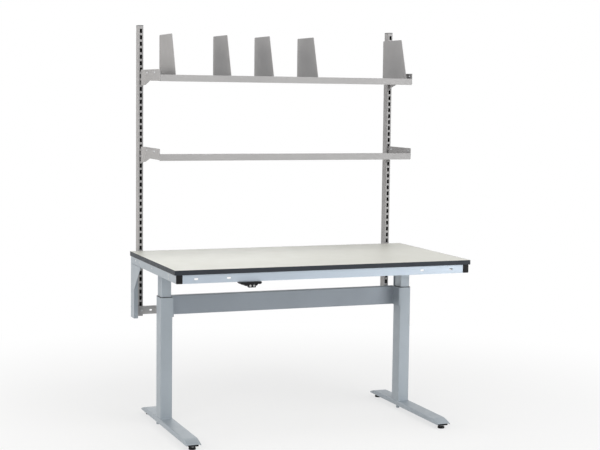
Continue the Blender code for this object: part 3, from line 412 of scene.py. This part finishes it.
def add_surround():
    """An even pale surround that the camera and reflections see as white."""
    world = bpy.data.worlds.new("surround")
    world.use_nodes = True
    tree = world.node_tree
    even = tree.nodes["Background"]
    even.inputs["Color"].default_value = (1.0, 0.995, 0.985, 1)
    even.inputs["Strength"].default_value = 0.25
    white = tree.nodes.new("ShaderNodeBackground")
    white.inputs["Color"].default_value = (1, 1, 1, 1)
    white.inputs["Strength"].default_value = 1.0
    mix = tree.nodes.new("ShaderNodeMixShader")
    link = tree.links.new
    link(seen_by(tree, ("Is Glossy Ray", "Is Transmission Ray", "Is Camera Ray")), mix.inputs[0])
    link(even.outputs["Background"], mix.inputs[1])
    link(white.outputs["Background"], mix.inputs[2])
    link(mix.outputs["Shader"], tree.nodes["World Output"].inputs["Surface"])
    bpy.context.scene.world = world


COOL = (0.97, 0.99, 1.0)
WARM = (1.0, 0.965, 0.915)

# Each lamp's name, place, aim, size, power and colour
LAMPS = (
    ("key_lamp", (1.6, -4.2, 4.0), (0, 0, 0.8), 2.2, 84.0, (1.0, 0.99, 0.965)),
    ("right_lamp", (3.6, -3.0, 1.3), (0.3, 0, 0.8), 1.2, 24.0, COOL),
    ("low_lamp", (2.7, -4.0, 0.5), (0.4, 0, 0.8), 1.0, 16.0, COOL),
    ("side_lamp", (-4.6, 0.3, 1.9), (-0.2, 0, 1.0), 3.0, 68.0, WARM),
    ("left_lamp", (-3.0, -3.6, 2.6), (0, 0, 0.9), 2.0, 41.0, COOL),
    ("top_lamp", (0.2, -0.6, 4.6), (0, 0, 0.8), 2.4, 44.0, (1.0, 1.0, 0.99)),
    ("back_lamp", (0.4, 4.4, 3.0), (0, 0, 0.9), 3.0, 22.0, COOL),
)


def add_lamps():
    """Large soft lamps on all sides."""
    for name, place, aim, size, power, colour in LAMPS:
        data = bpy.data.lights.new(name, "AREA")
        data.shape = "SQUARE"
        data.size = size
        data.energy = power
        data.color = colour
        lamp = bpy.data.objects.new(name, data)
        lamp.location = place
        lamp.rotation_mode = "QUATERNION"
        lamp.rotation_quaternion = (Vector(aim) - Vector(place)).to_track_quat("-Z", "Y")
        lamp.visible_camera = False
        bpy.context.scene.collection.objects.link(lamp)


place_camera()
add_floor()
add_surround()
add_lamps()
bpy.context.scene.view_settings.view_transform = "Standard"


# Shapes of the small pieces

RING_POINTS = 24
CORNER_STEPS = 5
UNTURNED = Matrix.Identity(3)


def facing(direction):
    """The turn that takes a piece's own +Z to this direction."""
    return Vector(direction).to_track_quat("Z", "Y").to_matrix()


def middle(node):
    low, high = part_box(node)
    return (Vector(low) + Vector(high)) / 2


def around(angle, reach, height):
    """A point at this angle round the Z axis and this far from it."""
    return Vector((reach * math.cos(angle), reach * math.sin(angle), height))


def circle(radius, height, count=RING_POINTS):
    return [around(TURN * i / count, radius, height) for i in range(count)]


def hexagon(radius, height):
    """A ring on a hexagon with this radius over its corners, with as many points as a circle."""
    half_side = TURN / 12
    flat = radius * math.cos(half_side)
    points = []
    for i in range(RING_POINTS):
        angle = TURN * i / RING_POINTS
        off = (angle + half_side) % (2 * half_side) - half_side
        points.append(around(angle, flat / math.cos(off), height))
    return points


def turned(outline, radius=mm, height=mm, base=0.0):
    """Rings of an outline, whose numbers are shares of a radius and a height, or mm."""
    return [shape(reach * radius, base + rise * height) for shape, reach, rise in outline]


def skinned(bm, rings, place=(0, 0, 0), turn=UNTURNED, capped=True):
    """Faces between rings of equally many points, with flat caps on the ends."""
    loops = []
    for points in rings:
        loops.append([bm.verts.new(Vector(place) + turn @ point) for point in points])
    for a, b in zip(loops, loops[1:]):
        for i in range(len(a)):
            j = (i + 1) % len(a)
            bm.faces.new((a[i], a[j], b[j], b[i]))
    if capped:
        bm.faces.new(loops[0][::-1])
        bm.faces.new(loops[-1])


def rounded_ring(half_x, half_y, corner, z):
    """Points round an upright box's outline at one height."""
    points = []
    for turn, (sx, sy) in enumerate(((1, 1), (-1, 1), (-1, -1), (1, -1))):
        for i in range(CORNER_STEPS + 1):
            angle = (turn + i / CORNER_STEPS) * TURN / 4
            x = sx * (half_x - corner) + corner * math.cos(angle)
            y = sy * (half_y - corner) + corner * math.sin(angle)
            points.append(Vector((x, y, z)))
    return points


def slab(bm, low, high):
    """A box between two opposite corners."""
    (x0, y0, z0), (x1, y1, z1) = low, high
    outline = ((x0, y0), (x1, y0), (x1, y1), (x0, y1))
    corners = [bm.verts.new((x, y, z)) for z in (z0, z1) for x, y in outline]
    for ids in ((0, 1, 2, 3), (4, 5, 6, 7), (0, 1, 5, 4), (1, 2, 6, 5), (2, 3, 7, 6), (3, 0, 4, 7)):
        bm.faces.new([corners[i] for i in ids])


SHARP_ANGLE = 38  # faces that meet at more than this many degrees show an edge
WELD_SHARP_ANGLE = 60
FLAT_SHARP_ANGLE = 30


def piece(name, bm, slot, body, sharp=SHARP_ANGLE):
    """A new piece of the object, with a finish, carried by a body."""
    bmesh.ops.recalc_face_normals(bm, faces=bm.faces)
    mesh = bpy.data.meshes.new(name)
    bm.to_mesh(mesh)
    bm.free()
    mesh.materials.append(looks[slot])
    mesh.shade_smooth()
    mesh.set_sharp_from_angle(angle=math.radians(sharp))
    obj = bpy.data.objects.new(name, mesh)
    bpy.context.scene.collection.objects.link(obj)
    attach(obj, body)
    return obj


def round_off(obj, width, segments):
    """Rounds the sharp edges of a new piece."""
    bevel = obj.modifiers.new("bevel", "BEVEL")
    bevel.width = width
    bevel.segments = segments
    bevel.limit_method = "ANGLE"
    bevel.harden_normals = True


# Fasteners

# A dome with a hexagonal socket, and a hexagon on a flange, in shares of the head's radius and height
BUTTON_HEAD = (
    (circle, 1.0, 0), (circle, 1.0, 0.18), (circle, 0.96, 0.42), (circle, 0.84, 0.72), (circle, 0.68, 0.92),
    (circle, 0.56, 1.0), (hexagon, 0.50, 1.0), (hexagon, 0.47, 0.9), (hexagon, 0.47, 0.3),
    (circle, 0.05, 0.2),
)
HEX_HEAD = (
    (circle, 1.28, 0), (circle, 1.30, 0.10), (circle, 1.24, 0.20), (circle, 1.02, 0.26), (hexagon, 1.0, 0.30),
    (hexagon, 1.0, 0.86), (hexagon, 0.97, 0.93), (circle, 0.84, 1.0), (circle, 0.60, 0.97),
    (circle, 0.56, 0.90), (circle, 0.04, 0.90),
)

# Each kind of fastener: its head's outline, radius and height
SHELF_SCREW = (BUTTON_HEAD, 5.6 * mm, 2.8 * mm)
SHELF_NUT = (HEX_HEAD, 4.6 * mm, 4.0 * mm)
TUBE_SCREW = (BUTTON_HEAD, 4.6 * mm, 2.3 * mm)
HEAD_BOLT = (HEX_HEAD, 6.2 * mm, 5.5 * mm)
BRACKET_BOLT = (HEX_HEAD, 6.0 * mm, 5.2 * mm)
RAIL_NUT = (HEX_HEAD, 5.6 * mm, 4.6 * mm)
RAIL_BOLT = (HEX_HEAD, 6.0 * mm, 5.0 * mm)
UPRIGHT_BOLT = (BUTTON_HEAD, 6.4 * mm, 3.4 * mm)
HANDSET_SCREW = (BUTTON_HEAD, 3.4 * mm, 1.8 * mm)
BOX_SCREW = (BUTTON_HEAD, 3.4 * mm, 1.6 * mm)

PLAY = 0.3 * mm  # between pieces that are screwed together
ARM_THICKNESS = 2 * mm
HEAD_PLATE = 4 * mm
BRACKET_WALL = 2.5 * mm
RAIL_WALL = 2 * mm

SHELF_SCREW_RISE = 10.6 * mm  # over the shelf's lip

# From the shelf's front to the front and rear screw of each arm
SHELF_SCREW_RUNS = {"left": (93.2 * mm, 230.2 * mm), "right": (29.2 * mm, 230.2 * mm)}

# Places of the side tubes' screws, from the tube's front end and under its top
END_SCREW_RUN = 114.9 * mm
END_SCREW_DROPS = (13.2 * mm, 29.2 * mm)
HEAD_SCREW_RUNS = (403.9 * mm, 628.9 * mm)
BRACKET_SCREW_RUN = 707.9 * mm
SCREW_DROP = 17.2 * mm

BRACKET_BOLT_RUNS = (27.2 * mm, 87.2 * mm)  # from the rear bracket's front
BRACKET_BOLT_INSET = 1.0 * mm  # from the middle of the side tube
RAIL_BOLT_INSET = 10.5 * mm  # from the rear bracket's outer face


def fastener(name, head, place, outward):
    """One screw, bolt or nut on a face of a piece that goes up and down with the board."""
    outline, radius, height = head
    spin = Matrix.Rotation(random.uniform(0, TURN), 3, "Z")
    bm = bmesh.new()
    skinned(bm, turned(outline, radius, height), place, facing(outward) @ spin)
    piece(name, bm, "steel", "lift")


def add_shelf_screws():
    """Screws through the arms of the shelf brackets, with a nut on the other face."""
    for shelf in ("upper", "lower"):
        low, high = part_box(f"{shelf}_shelf")
        inner = high[0] + PLAY
        outer = inner + ARM_THICKNESS
        z = high[2] + SHELF_SCREW_RISE
        for name, side in SIDES:
            for end, run in zip(ENDS, SHELF_SCREW_RUNS[name]):
                y = low[1] + run
                fastener(f"{shelf}_shelf_screw_{end}_{name}", SHELF_SCREW, (side * outer, y, z), (side, 0, 0))
                fastener(f"{shelf}_shelf_nut_{end}_{name}", SHELF_NUT, (side * inner, y, z), (-side, 0, 0))


def add_rail_bolts(rail, name, x):
    """A bolt and nut between a cross rail and a rear bracket, and the bolt that holds an upright."""
    low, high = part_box(f"{rail}_cross_rail")
    z = (low[2] + high[2]) / 2
    fastener(f"{rail}_rail_nut_{name}", RAIL_NUT, (x, low[1] - PLAY - BRACKET_WALL, z), (0, -1, 0))
    fastener(f"{rail}_rail_bolt_{name}", RAIL_BOLT, (x, low[1] + RAIL_WALL, z), (0, 1, 0))
    upright_x = middle(f"upright_{name}").x
    fastener(f"{rail}_upright_bolt_{name}", UPRIGHT_BOLT, (upright_x, low[1], z), (0, -1, 0))


def add_frame_screws():
    """Screws in the outer faces of the side tubes, and the bolts of the brackets and rails."""
    for name, side in SIDES:
        low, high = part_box(f"side_tube_{name}")
        inner, outer = sorted((low[0], high[0]), key=abs)
        screw_z = high[2] - SCREW_DROP
        spots = [(END_SCREW_RUN, high[2] - drop) for drop in END_SCREW_DROPS]
        spots += [(run, screw_z) for run in (*HEAD_SCREW_RUNS, BRACKET_SCREW_RUN)]
        for number, (run, z) in enumerate(spots, 1):
            fastener(f"tube_screw_{number}_{name}", TUBE_SCREW, (outer, low[1] + run, z), (side, 0, 0))
        plate_face = inner - side * (HEAD_PLATE + PLAY)
        for number, run in enumerate(HEAD_SCREW_RUNS, 1):
            place = (plate_face, low[1] + run, screw_z)
            fastener(f"head_bolt_{number}_{name}", HEAD_BOLT, place, (-side, 0, 0))
        bracket_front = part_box(f"rear_bracket_{name}")[0][1]
        under = low[2] - PLAY - BRACKET_WALL
        x = (outer + inner) / 2 - side * BRACKET_BOLT_INSET
        for number, run in enumerate(BRACKET_BOLT_RUNS, 1):
            place = (x, bracket_front + run, under)
            fastener(f"bracket_bolt_{number}_{name}", BRACKET_BOLT, place, (0, 0, -1))
        for rail in ("lower", "upper"):
            add_rail_bolts(rail, name, outer - side * RAIL_BOLT_INSET)


# Lower end of a foot screw, in mm: a hexagonal socket, a rounded head and the start of the shank
FOOT_SCREW = (
    (circle, 1.0, 2.5), (hexagon, 4.2, 2.5), (hexagon, 4.2, 0), (circle, 6.6, 0), (circle, 8.1, 0.8),
    (circle, 8.8, 2.4), (circle, 8.8, 9), (circle, 8.0, 9.6),
)
FOOT_SCREW_SHANK = 8.0 * mm
FOOT_SCREW_DROP = 16 * mm  # from the foot bar's lower edge to the head
FOOT_SCREW_TOP = 3.2 * mm  # from the foot bar's top to the screw's upper end
FOOT_SCREW_ASIDE = 23.5 * mm  # from the column's middle
FOOT_SCREW_FORWARD = 24.8 * mm


def add_foot_screws():
    """Two long screws under each foot, at opposite corners of its column, up against the foot bar's top."""
    for name, side in SIDES:
        foot_low, foot_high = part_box(f"foot_bar_{name}")
        centre = middle(f"outer_column_{name}")
        rings = turned(FOOT_SCREW, base=foot_low[2] - FOOT_SCREW_DROP)
        rings.append(circle(FOOT_SCREW_SHANK, foot_high[2] - FOOT_SCREW_TOP))
        for number, corner in enumerate((1, -1), 1):
            x = centre.x - side * corner * FOOT_SCREW_ASIDE
            y = centre.y - corner * FOOT_SCREW_FORWARD
            bm = bmesh.new()
            skinned(bm, rings, (x, y, 0))
            piece(f"foot_screw_{number}_{name}", bm, "silver_paint", "base")


# Welds

BEAD_POINTS = 8
BEAD_STEP = 0.6  # between a bead's rings, in shares of its radius
SCALE_LENGTH = 2.2  # of each of the bead's overlapping scales, in shares of its radius
SCALE_RISE = 0.14
UNEVENNESS = 0.04
END_SIZE = 0.4  # of the first and last ring

INNER_HALF_X = 25 * mm  # of the inner column's tube
INNER_HALF_Y = 35 * mm
INNER_CORNER = 4 * mm
OUTER_CORNER = 5 * mm
FOOT_WELD_RISE = 0.4 * mm  # over the foot bar
HEAD_WELD_DROP = 4.6 * mm  # under the head plate's top
FOOT_WELD_RADIUS = 1.9 * mm
HEAD_WELD_RADIUS = 1.8 * mm

SEAM_GAP = 0.2 * mm  # from the column's inner face to the middle of the crossbeam's seams
FRONT_SEAM_SHIFT = 0.9 * mm  # of the front seam, away from the crossbeam
FRONT_SEAM_IN = 1.6 * mm  # from the column's front face
REAR_SEAM_IN = 0.5 * mm
UNDER_SEAM_IN = 4 * mm
SEAM_TOP = 0.5 * mm  # from the crossbeam's top edge
FRONT_SEAM_RADIUS = 2.2 * mm
SEAM_RADIUS = 2.0 * mm

POST_DEPTH = 61 * mm  # of the rear bracket's post
POST_WEB = 2.6 * mm  # from the bracket's outer face
POST_SEAM_IN = 3.1 * mm  # from the post's front and rear faces
POST_SEAM_LOW = 6 * mm  # from the bracket's lower end
POST_FRONT_SEAM_HIGH = 150 * mm
POST_REAR_SEAM_HIGH = 260 * mm
POST_SEAM_RADIUS = 1.6 * mm


def bead(bm, path, radius, closed=False):
    """A weld along a path: a round bead with the small overlapping scales that a welder leaves."""
    points = [Vector(point) for point in path]
    if closed:
        points.append(points[0])
    stations = [(points[0], (points[1] - points[0]).normalized())]
    for a, b in zip(points, points[1:]):
        along = (b - a).normalized()
        count = max(int((b - a).length / (BEAD_STEP * radius)), 1)
        for i in range(1, count + 1):
            stations.append((a.lerp(b, i / count), along))
    rings = []
    run = 0.0
    for i, (place, along) in enumerate(stations):
        if i:
            run += (place - stations[i - 1][0]).length
        scale = 1 + SCALE_RISE * ((run / (SCALE_LENGTH * radius)) % 1.0)
        scale += random.uniform(-UNEVENNESS, UNEVENNESS)
        if not closed and i in (0, len(stations) - 1):
            scale *= END_SIZE
        turn = facing(along)
        rings.append([place + turn @ (point * scale) for point in circle(radius, 0, BEAD_POINTS)])
    skinned(bm, rings)


def weld_round(name, body, centre, ring, radius):
    """A weld round a column."""
    bm = bmesh.new()
    bead(bm, [point + Vector((centre.x, centre.y, 0)) for point in ring], radius, closed=True)
    piece(name, bm, "silver_paint", body, WELD_SHARP_ANGLE)


def weld_beam(name, side, low, high):
    """The seams in front of, under and behind the crossbeam's end plate, on a column with this box."""
    beam_low, beam_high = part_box("crossbeam")
    seam = middle(f"outer_column_{name}").x - side * ((high[0] - low[0]) / 2 + SEAM_GAP)
    bottom = beam_low[2]
    top = beam_high[2] - SEAM_TOP
    front_x = seam + side * FRONT_SEAM_SHIFT
    front = low[1] + FRONT_SEAM_IN
    rear = high[1] - REAR_SEAM_IN
    bm = bmesh.new()
    bead(bm, [(front_x, front, top), (front_x, front, bottom)], FRONT_SEAM_RADIUS)
    under = [(seam, low[1] + UNDER_SEAM_IN, bottom), (seam, high[1] - UNDER_SEAM_IN, bottom)]
    bead(bm, under, SEAM_RADIUS)
    bead(bm, [(seam, rear, bottom), (seam, rear, top)], SEAM_RADIUS)
    piece(f"beam_weld_{name}", bm, "silver_paint", "base", WELD_SHARP_ANGLE)


def weld_bracket(name, side):
    """The seams along the front and rear of a rear bracket's post."""
    low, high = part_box(f"rear_bracket_{name}")
    web = side * (max(abs(low[0]), abs(high[0])) - POST_WEB)
    front = high[1] - POST_DEPTH + POST_SEAM_IN
    rear = high[1] - POST_SEAM_IN
    start = low[2] + POST_SEAM_LOW
    bm = bmesh.new()
    bead(bm, [(web, front, start), (web, front, low[2] + POST_FRONT_SEAM_HIGH)], POST_SEAM_RADIUS)
    bead(bm, [(web, rear, start), (web, rear, low[2] + POST_REAR_SEAM_HIGH)], POST_SEAM_RADIUS)
    piece(f"bracket_weld_{name}", bm, "silver_paint", "lift", WELD_SHARP_ANGLE)


def add_welds():
    """The welds of the columns' feet, the crossbeam's plates, the head plates and the brackets' posts."""
    for name, side in SIDES:
        low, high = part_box(f"outer_column_{name}")
        centre = middle(f"outer_column_{name}")
        half_x = (high[0] - low[0]) / 2
        half_y = (high[1] - low[1]) / 2
        ring = rounded_ring(half_x, half_y, OUTER_CORNER, low[2] + FOOT_WELD_RISE)
        weld_round(f"foot_weld_{name}", "base", centre, ring, FOOT_WELD_RADIUS)
        weld_beam(name, side, low, high)
        head_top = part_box(f"inner_column_{name}")[1][2]
        ring = rounded_ring(INNER_HALF_X, INNER_HALF_Y, INNER_CORNER, head_top - HEAD_WELD_DROP)
        weld_round(f"head_weld_{name}", "lift", centre, ring, HEAD_WELD_RADIUS)
        weld_bracket(name, side)


# Screws that turn

THREAD_STEPS = 5  # rings along each turn of a thread
GROOVE_SLOPE = 3.2  # of a groove's sides, in groove depths for each pitch

# A stud's lower end, and its nut, in mm
STUD_END = ((circle, 4.2, 0), (circle, 5, 0.8))
STUD_NUT = (
    (circle, 5, 0), (circle, 8, 0), (hexagon, 9.5, 0.5), (hexagon, 9.5, 3.5), (circle, 8, 4), (circle, 5, 4),
)
STUD_NUT_HEIGHT = 4 * mm
STUD_RADIUS = 5 * mm
STUD_TIP = 4.2 * mm
STUD_PITCH = 1.5 * mm
STUD_GROOVE = 0.75 * mm
STUD_THREAD_START = 0.1 * mm  # over the nut
STUD_THREAD_END = 0.6 * mm  # under the stud's top

SPINDLE_POINTS = 20
SPINDLE_STEPS = 8
SPINDLE_RADIUS = 8 * mm
SPINDLE_PITCH = 8 * mm
SPINDLE_GROOVE = 1.1 * mm
SPINDLE_NECK = 20 * mm  # height of the thin neck on top
SPINDLE_THREAD_START = 2 * mm  # over the lower end
SPINDLE_THREAD_END = 14 * mm  # under the neck

# Radii and heights of the spindle's plain rings, in mm, from its lower end, its shoulder and its top
SPINDLE_END = ((6.4, 0), (8, 1.6))
SPINDLE_SHOULDER = ((8, -0.8), (7.4, 0), (5, 0))
SPINDLE_TIP = ((5, -0.8), (4.2, 0))


def thread_rings(radius, depth, pitch, start, end, count=RING_POINTS, steps=THREAD_STEPS):
    """Rings of a screw thread: the radius falls and rises once along each pitch, and turns with the angle."""
    rings = []
    rows = int((end - start) / pitch * steps)
    for row in range(rows + 1):
        z = start + (end - start) * row / rows
        fade = max(min((z - start) / pitch, (end - z) / pitch, 1.0), 0.0)
        points = []
        for i in range(count):
            phase = (z / pitch - i / count) % 1.0
            groove = max(0.0, 1 - abs(phase - 0.5) * GROOVE_SLOPE)
            points.append(around(TURN * i / count, radius - depth * groove * fade, z))
        rings.append(points)
    return rings


def add_stud(stem):
    """A levelling stud with its thread cut in and its nut."""
    node = f"levelling_stud_{stem}"
    low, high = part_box(node)
    centre = middle(node)
    pad_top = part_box(f"levelling_pad_{stem}")[1][2]
    nut = pad_top + PLAY
    thread = nut + STUD_NUT_HEIGHT + STUD_THREAD_START
    rings = turned(STUD_END, base=low[2]) + turned(STUD_NUT, base=nut)
    rings += thread_rings(STUD_RADIUS, STUD_GROOVE, STUD_PITCH, thread, high[2] - STUD_THREAD_END)
    rings.append(circle(STUD_TIP, high[2]))
    bm = bmesh.new()
    skinned(bm, rings, (centre.x, centre.y, 0))
    stud = piece(f"threaded_stud_{stem}", bm, "steel", node)
    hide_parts(node)


def spindle_rings(outline, base):
    """Plain rings of the spindle, at their heights from a base."""
    return [circle(radius * mm, base + rise * mm, SPINDLE_POINTS) for radius, rise in outline]


def add_spindle(name):
    """A lifting spindle with its thread cut in, and the thin neck that goes into the motor."""
    node = f"spindle_{name}"
    low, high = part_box(node)
    centre = middle(node)
    shoulder = high[2] - SPINDLE_NECK
    thread = (low[2] + SPINDLE_THREAD_START, shoulder - SPINDLE_THREAD_END, SPINDLE_POINTS, SPINDLE_STEPS)
    rings = spindle_rings(SPINDLE_END, low[2])
    rings += thread_rings(SPINDLE_RADIUS, SPINDLE_GROOVE, SPINDLE_PITCH, *thread)
    rings += spindle_rings(SPINDLE_SHOULDER, shoulder)
    rings += spindle_rings(SPINDLE_TIP, high[2])
    bm = bmesh.new()
    skinned(bm, rings, (centre.x, centre.y, 0))
    spindle = piece(f"threaded_spindle_{name}", bm, "steel", node)
    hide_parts(node)


def add_threads():
    for name, _ in SIDES:
        for end in ENDS:
            add_stud(f"{end}_{name}")
        add_spindle(name)


# Controls

BUTTONS = (("down_button", -1), ("up_button", 1))  # with the way that their arrows point

# A button's back and dished front, and the ring round it, in mm
BUTTON_BACK = ((circle, 4.4, 0), (circle, 4.5, 0.3))
BUTTON_FRONT = (
    (circle, 4.5, -0.7), (circle, 4.38, -0.3), (circle, 4.1, -0.06), (circle, 3.8, 0), (circle, 3.4, -0.06),
    (circle, 2.6, -0.34), (circle, 0.3, -0.45),
)
BUTTON_RING = (
    (circle, 5.0, 0), (circle, 5.0, 0.35), (circle, 5.3, 0.55), (circle, 5.9, 0.55), (circle, 6.3, 0.3),
    (circle, 6.4, 0),
)
ARROW = ((-1.5, -0.9), (1.5, -0.9), (0, 1.3))  # corners of the arrow that points up, in mm
ARROW_BACK = 0.5 * mm  # behind the button's rim
ARROW_FRONT = 0.12 * mm
ARROW_FRONT_SIZE = 0.8  # of its size at the back
ARROW_SHARP_ANGLE = 20


def add_arrow(node, way):
    """A small raised arrow in the dish of a button, a little narrower in front."""
    button_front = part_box(node)[0][1]
    centre = middle(node)
    bm = bmesh.new()
    loops = []
    for y, size in ((button_front + ARROW_BACK, 1.0), (button_front + ARROW_FRONT, ARROW_FRONT_SIZE)):
        loop = []
        for across, up in ARROW:
            loop.append(bm.verts.new((centre.x + across * size * mm, y, centre.z + way * up * size * mm)))
        bm.faces.new(loop)
        loops.append(loop)
    back, front = loops
    for i in range(len(ARROW)):
        j = (i + 1) % len(ARROW)
        bm.faces.new((back[i], back[j], front[j], front[i]))
    piece(f"{node}_arrow", bm, "dark_plastic", node, ARROW_SHARP_ANGLE)


def add_buttons():
    """Round buttons with a shallow dish and an arrow."""
    for node, way in BUTTONS:
        low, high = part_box(node)
        centre = middle(node)
        rings = turned(BUTTON_BACK) + turned(BUTTON_FRONT, base=high[1] - low[1])
        bm = bmesh.new()
        skinned(bm, rings, (centre.x, high[1], centre.z), facing((0, -1, 0)))
        cap = piece(f"{node}_cap", bm, "button_grey", node)
        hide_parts(node)
        add_arrow(node, way)


HANDSET_SCREW_ASIDE = 42 * mm  # from the handset's middle
HANDSET_SCREW_FORWARD = 14 * mm  # from its rear face
HANDSET_SCREW_DROP = 11 * mm  # under its top


def add_handset_details():
    """A ring round each button, and the two screws of the handset's ears."""
    low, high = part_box("handset")
    for node, _ in BUTTONS:
        centre = middle(node)
        bm = bmesh.new()
        skinned(bm, turned(BUTTON_RING), (centre.x, low[1], centre.z), facing((0, -1, 0)), capped=False)
        piece(f"{node}_ring", bm, "dark_plastic", "lift")
    for name, side in SIDES:
        x = (low[0] + high[0]) / 2 + side * HANDSET_SCREW_ASIDE
        place = (x, high[1] - HANDSET_SCREW_FORWARD, high[2] - HANDSET_SCREW_DROP)
        fastener(f"handset_screw_{name}", HANDSET_SCREW, place, (0, 0, -1))


SUNK = 0.5 * mm  # depth of the control box's lid and sockets in the box
LID_INSET = 8 * mm
LID_DROP = 1.2 * mm  # under the box
LID_EDGE = 1.0 * mm  # width of its rounded edges
RIB_COUNT = 14
RIB_START = 150 * mm  # from the box's left end
RIB_PITCH = 6 * mm
RIB_WIDTH = 2.4 * mm
RIB_INSET = 20 * mm
RIB_TOP = 1.0 * mm  # under the box, and inside the lid
RIB_BOTTOM = 2.4 * mm
RIB_EDGE = 0.5 * mm
BOX_SCREW_INSET = 14 * mm
SOCKET_COUNT = 3
SOCKET_START = 40 * mm  # from the box's left end to the middle of the first socket
SOCKET_PITCH = 42 * mm
SOCKET_HALF_WIDTH = 13 * mm
SOCKET_HALF_HEIGHT = 9 * mm
SOCKET_OUT = 1.6 * mm
SOCKET_EDGE = 0.8 * mm


def add_box_details():
    """The lid, ribs, screws and sockets of the control box under the board."""
    low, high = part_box("control_box")
    bm = bmesh.new()
    lid_low = (low[0] + LID_INSET, low[1] + LID_INSET, low[2] - LID_DROP)
    slab(bm, lid_low, (high[0] - LID_INSET, high[1] - LID_INSET, low[2] + SUNK))
    lid = piece("control_box_lid", bm, "dark_plastic", "lift", FLAT_SHARP_ANGLE)
    round_off(lid, LID_EDGE, segments=3)
    bm = bmesh.new()
    for i in range(RIB_COUNT):
        x = low[0] + RIB_START + i * RIB_PITCH
        rib_low = (x, low[1] + RIB_INSET, low[2] - RIB_BOTTOM)
        slab(bm, rib_low, (x + RIB_WIDTH, high[1] - RIB_INSET, low[2] - RIB_TOP))
    ribs = piece("control_box_ribs", bm, "black_plastic", "lift", FLAT_SHARP_ANGLE)
    round_off(ribs, RIB_EDGE, segments=2)
    for column, x in enumerate((low[0] + BOX_SCREW_INSET, high[0] - BOX_SCREW_INSET)):
        for row, y in enumerate((low[1] + BOX_SCREW_INSET, high[1] - BOX_SCREW_INSET)):
            place = (x, y, low[2] - LID_DROP)
            fastener(f"control_box_screw_{column}{row}", BOX_SCREW, place, (0, 0, -1))
    bm = bmesh.new()
    z = (low[2] + high[2]) / 2
    for i in range(SOCKET_COUNT):
        x = low[0] + SOCKET_START + i * SOCKET_PITCH
        socket_low = (x - SOCKET_HALF_WIDTH, low[1] - SOCKET_OUT, z - SOCKET_HALF_HEIGHT)
        slab(bm, socket_low, (x + SOCKET_HALF_WIDTH, low[1] + SUNK, z + SOCKET_HALF_HEIGHT))
    sockets = piece("control_box_sockets", bm, "dark_plastic", "lift", FLAT_SHARP_ANGLE)
    round_off(sockets, SOCKET_EDGE, segments=3)


add_shelf_screws()
add_frame_screws()
add_foot_screws()
add_welds()
add_threads()
add_buttons()
add_handset_details()
add_box_details()


# Rounded edges on the CAD nodes

# Words in the nodes' names, of which the first that fits counts, and the width of their rounded edges in mm
EDGES = (
    ("tabletop", 0.4), ("edge_band", 0.7), ("foot_bar", 0.8), ("outer_column", 0.5), ("inner_column", 0.5),
    ("guide_ring", 0.4), ("crossbeam", 0.8), ("side_tube", 0.5), ("tube_cap", 1.0), ("front_rail", 0.8),
    ("rear_bracket", 0.7), ("cross_rail", 0.6), ("upright_cap", 0.8), ("upright", 0.4),
    ("shelf_bracket", 0.5), ("shelf", 0.6), ("divider", 0.5), ("handset", 1.0), ("button", 1.2),
    ("control_box", 2.0), ("foot_insert", 0.8), ("levelling_pad", 0.8), ("levelling_stud", 0.4),
    ("base_bolt", 1.5), ("motor", 0.8), ("spindle", 0.5), ("nut_tube", 0.5),
)

JOIN_DISTANCE = 0.01 * mm
FLAT_ANGLE = 0.02  # radians between triangles that lie on one face
ROUNDED_ANGLE = math.radians(35)  # edges sharper than this are rounded


def soften(obj, width):
    """Welds the loaded mesh's split edges, joins its flat triangles and rounds its sharp edges."""
    weld = obj.modifiers.new("weld", "WELD")
    weld.merge_threshold = JOIN_DISTANCE
    flat = obj.modifiers.new("flat", "DECIMATE")
    flat.decimate_type = "DISSOLVE"
    flat.angle_limit = FLAT_ANGLE
    bevel = obj.modifiers.new("bevel", "BEVEL")
    bevel.width = width
    bevel.segments = 2
    bevel.limit_method = "ANGLE"
    bevel.angle_limit = ROUNDED_ANGLE
    bevel.use_clamp_overlap = True
    even = obj.modifiers.new("even_shading", "WEIGHTED_NORMAL")
    even.mode = "FACE_AREA"
    even.weight = 50
    even.keep_sharp = True


def round_edges():
    for name, obj in nodes.items():
        width = next(width for word, width in EDGES if word in name)
        soften(obj, width * mm)


round_edges()
